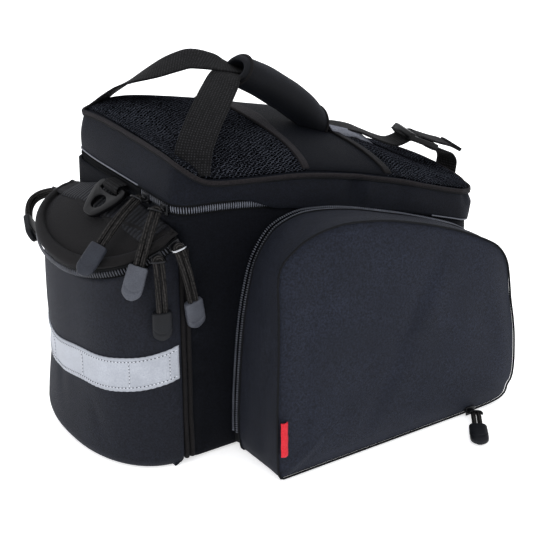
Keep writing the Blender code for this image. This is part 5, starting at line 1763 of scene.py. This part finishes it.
# %% One pull
def tip_shape(name, start, heading, across, up, finish):
    rows = []
    for k in range(49):
        place = k / 48
        wide = min(1.0, 0.90 + place * 2) * (1.04 - 0.04 * abs(2 * place - 1))
        thick = 1.0
        if place > 0.70:
            end = (place - 0.70) / 0.30
            wide *= max(1 - 0.72 * end**2.6, 0.0)
            thick = 1 - 0.42 * end**2.2
        row = []
        for n in range(41):
            turn = math.tau * n / 40
            u = math.copysign(abs(math.cos(turn)) ** 0.62, math.cos(turn)) * TIP_WIDE / 2 * wide
            v = math.copysign(abs(math.sin(turn)) ** 0.62, math.sin(turn)) * TIP_THICK / 2 * thick
            bend = place - 0.74 + 2.6 * (u / TIP_WIDE) ** 2 * 0.30
            v *= 1 - 0.24 * math.exp(-((bend / 0.030) ** 2))
            row.append(start + heading * (0.0003 + place * TIP_LONG) + across * u + up * v)
        rows.append(row)
    rows.insert(0, [start + heading * 0.0003] * 41)
    rows.append([start + heading * (0.0003 + TIP_LONG)] * 41)
    return pin(name, rows, finish, closed=True)


def zip_slider(name, seat, normal, run, finish):
    """A rounded plate with a rounded block on it, under the arched bail made apart."""
    parts = [rounded_bar((-0.0050, -0.0041, 0.0005), (0.0050, 0.0041, 0.0019), 0.0006)]
    parts.append(rounded_bar((-0.0026, -0.0013, 0.0017), (0.0032, 0.0013, 0.0040), 0.0008))
    slider = join(name, parts, finish)
    place_in(slider, seat, run, normal.cross(run), normal)
    return slider


def zip_pull(name, zip_name, side, share, hang, bow, facing, finish):
    seat, normal, run = slider_seat(zip_name, side, share)
    stop = seat + Vector(hang)
    clear = 0.0040 + STRAND + 0.0006
    lead = (stop - seat - normal * clear).normalized()
    setting_off = (lead * 0.45 * (stop - seat).length + normal * bow).normalized()
    begin = seat + normal * (clear + max(setting_off.dot(normal), 0.0) * SPREAD / 2)
    lead = (stop - begin).normalized()
    flat = abs(normal.z) < 0.1 and abs(lead.z) < 0.1
    face = UP if flat else Vector(facing or normal)
    across = lead.cross(face).normalized()
    face = across.cross(lead).normalized()
    if (face.z if flat else face.dot(normal)) < 0:
        face = -face
    cord_end = stop - lead * TIP_LONG
    control = begin.lerp(cord_end, 0.45) + face * bow
    times = [k / 30 for k in range(31)]
    middle = [begin * (1 - t) ** 2 + control * 2 * t * (1 - t) + cord_end * t**2 for t in times]
    half = across * SPREAD / 2
    toward = (middle[0] - middle[1]).normalized()
    path = [p + half for p in reversed(middle)]
    for k in range(1, 12):
        turn = math.pi * k / 12
        path.append(middle[0] + half * math.cos(turn) + toward * SPREAD / 2 * math.sin(turn))
    path += [p - half for p in middle]
    loop = sweep(f"pull_cord_{name}", path, face, round_section(STRAND, 14), CORD)
    heading = (cord_end - middle[-2]).normalized()
    up = across.cross(heading).normalized()
    tip = tip_shape(f"pull_tip_{name}", cord_end, heading, across, up, finish)
    slider = zip_slider(f"pull_slider_{name}", seat, normal, run, LACQUER)
    over = SPREAD / 2 + STRAND + 0.0011
    arch = [
        seat + normal * 0.0018 + across * over,
        begin + across * over,
        begin + face * 0.0026 + across * (over - 0.0012),
        begin + face * 0.0032,
        begin + face * 0.0026 - across * (over - 0.0012),
        begin - across * over,
        seat + normal * 0.0018 - across * over,
    ]
    wire = NICKEL if name == "e" else LACQUER
    bail = sweep(f"pull_bail_{name}", smooth_line(arch, 28), lead, round_section(0.0008, 8), wire)
    belongs(loop, "pull_cord", f"cord_{name}")
    belongs(tip, "pull_tip", f"tip_{name}")
    belongs(slider, "slider_metal", f"slider_{name}")
    belongs(bail, "slider_metal")


for row in PULLS:
    zip_pull(*row)
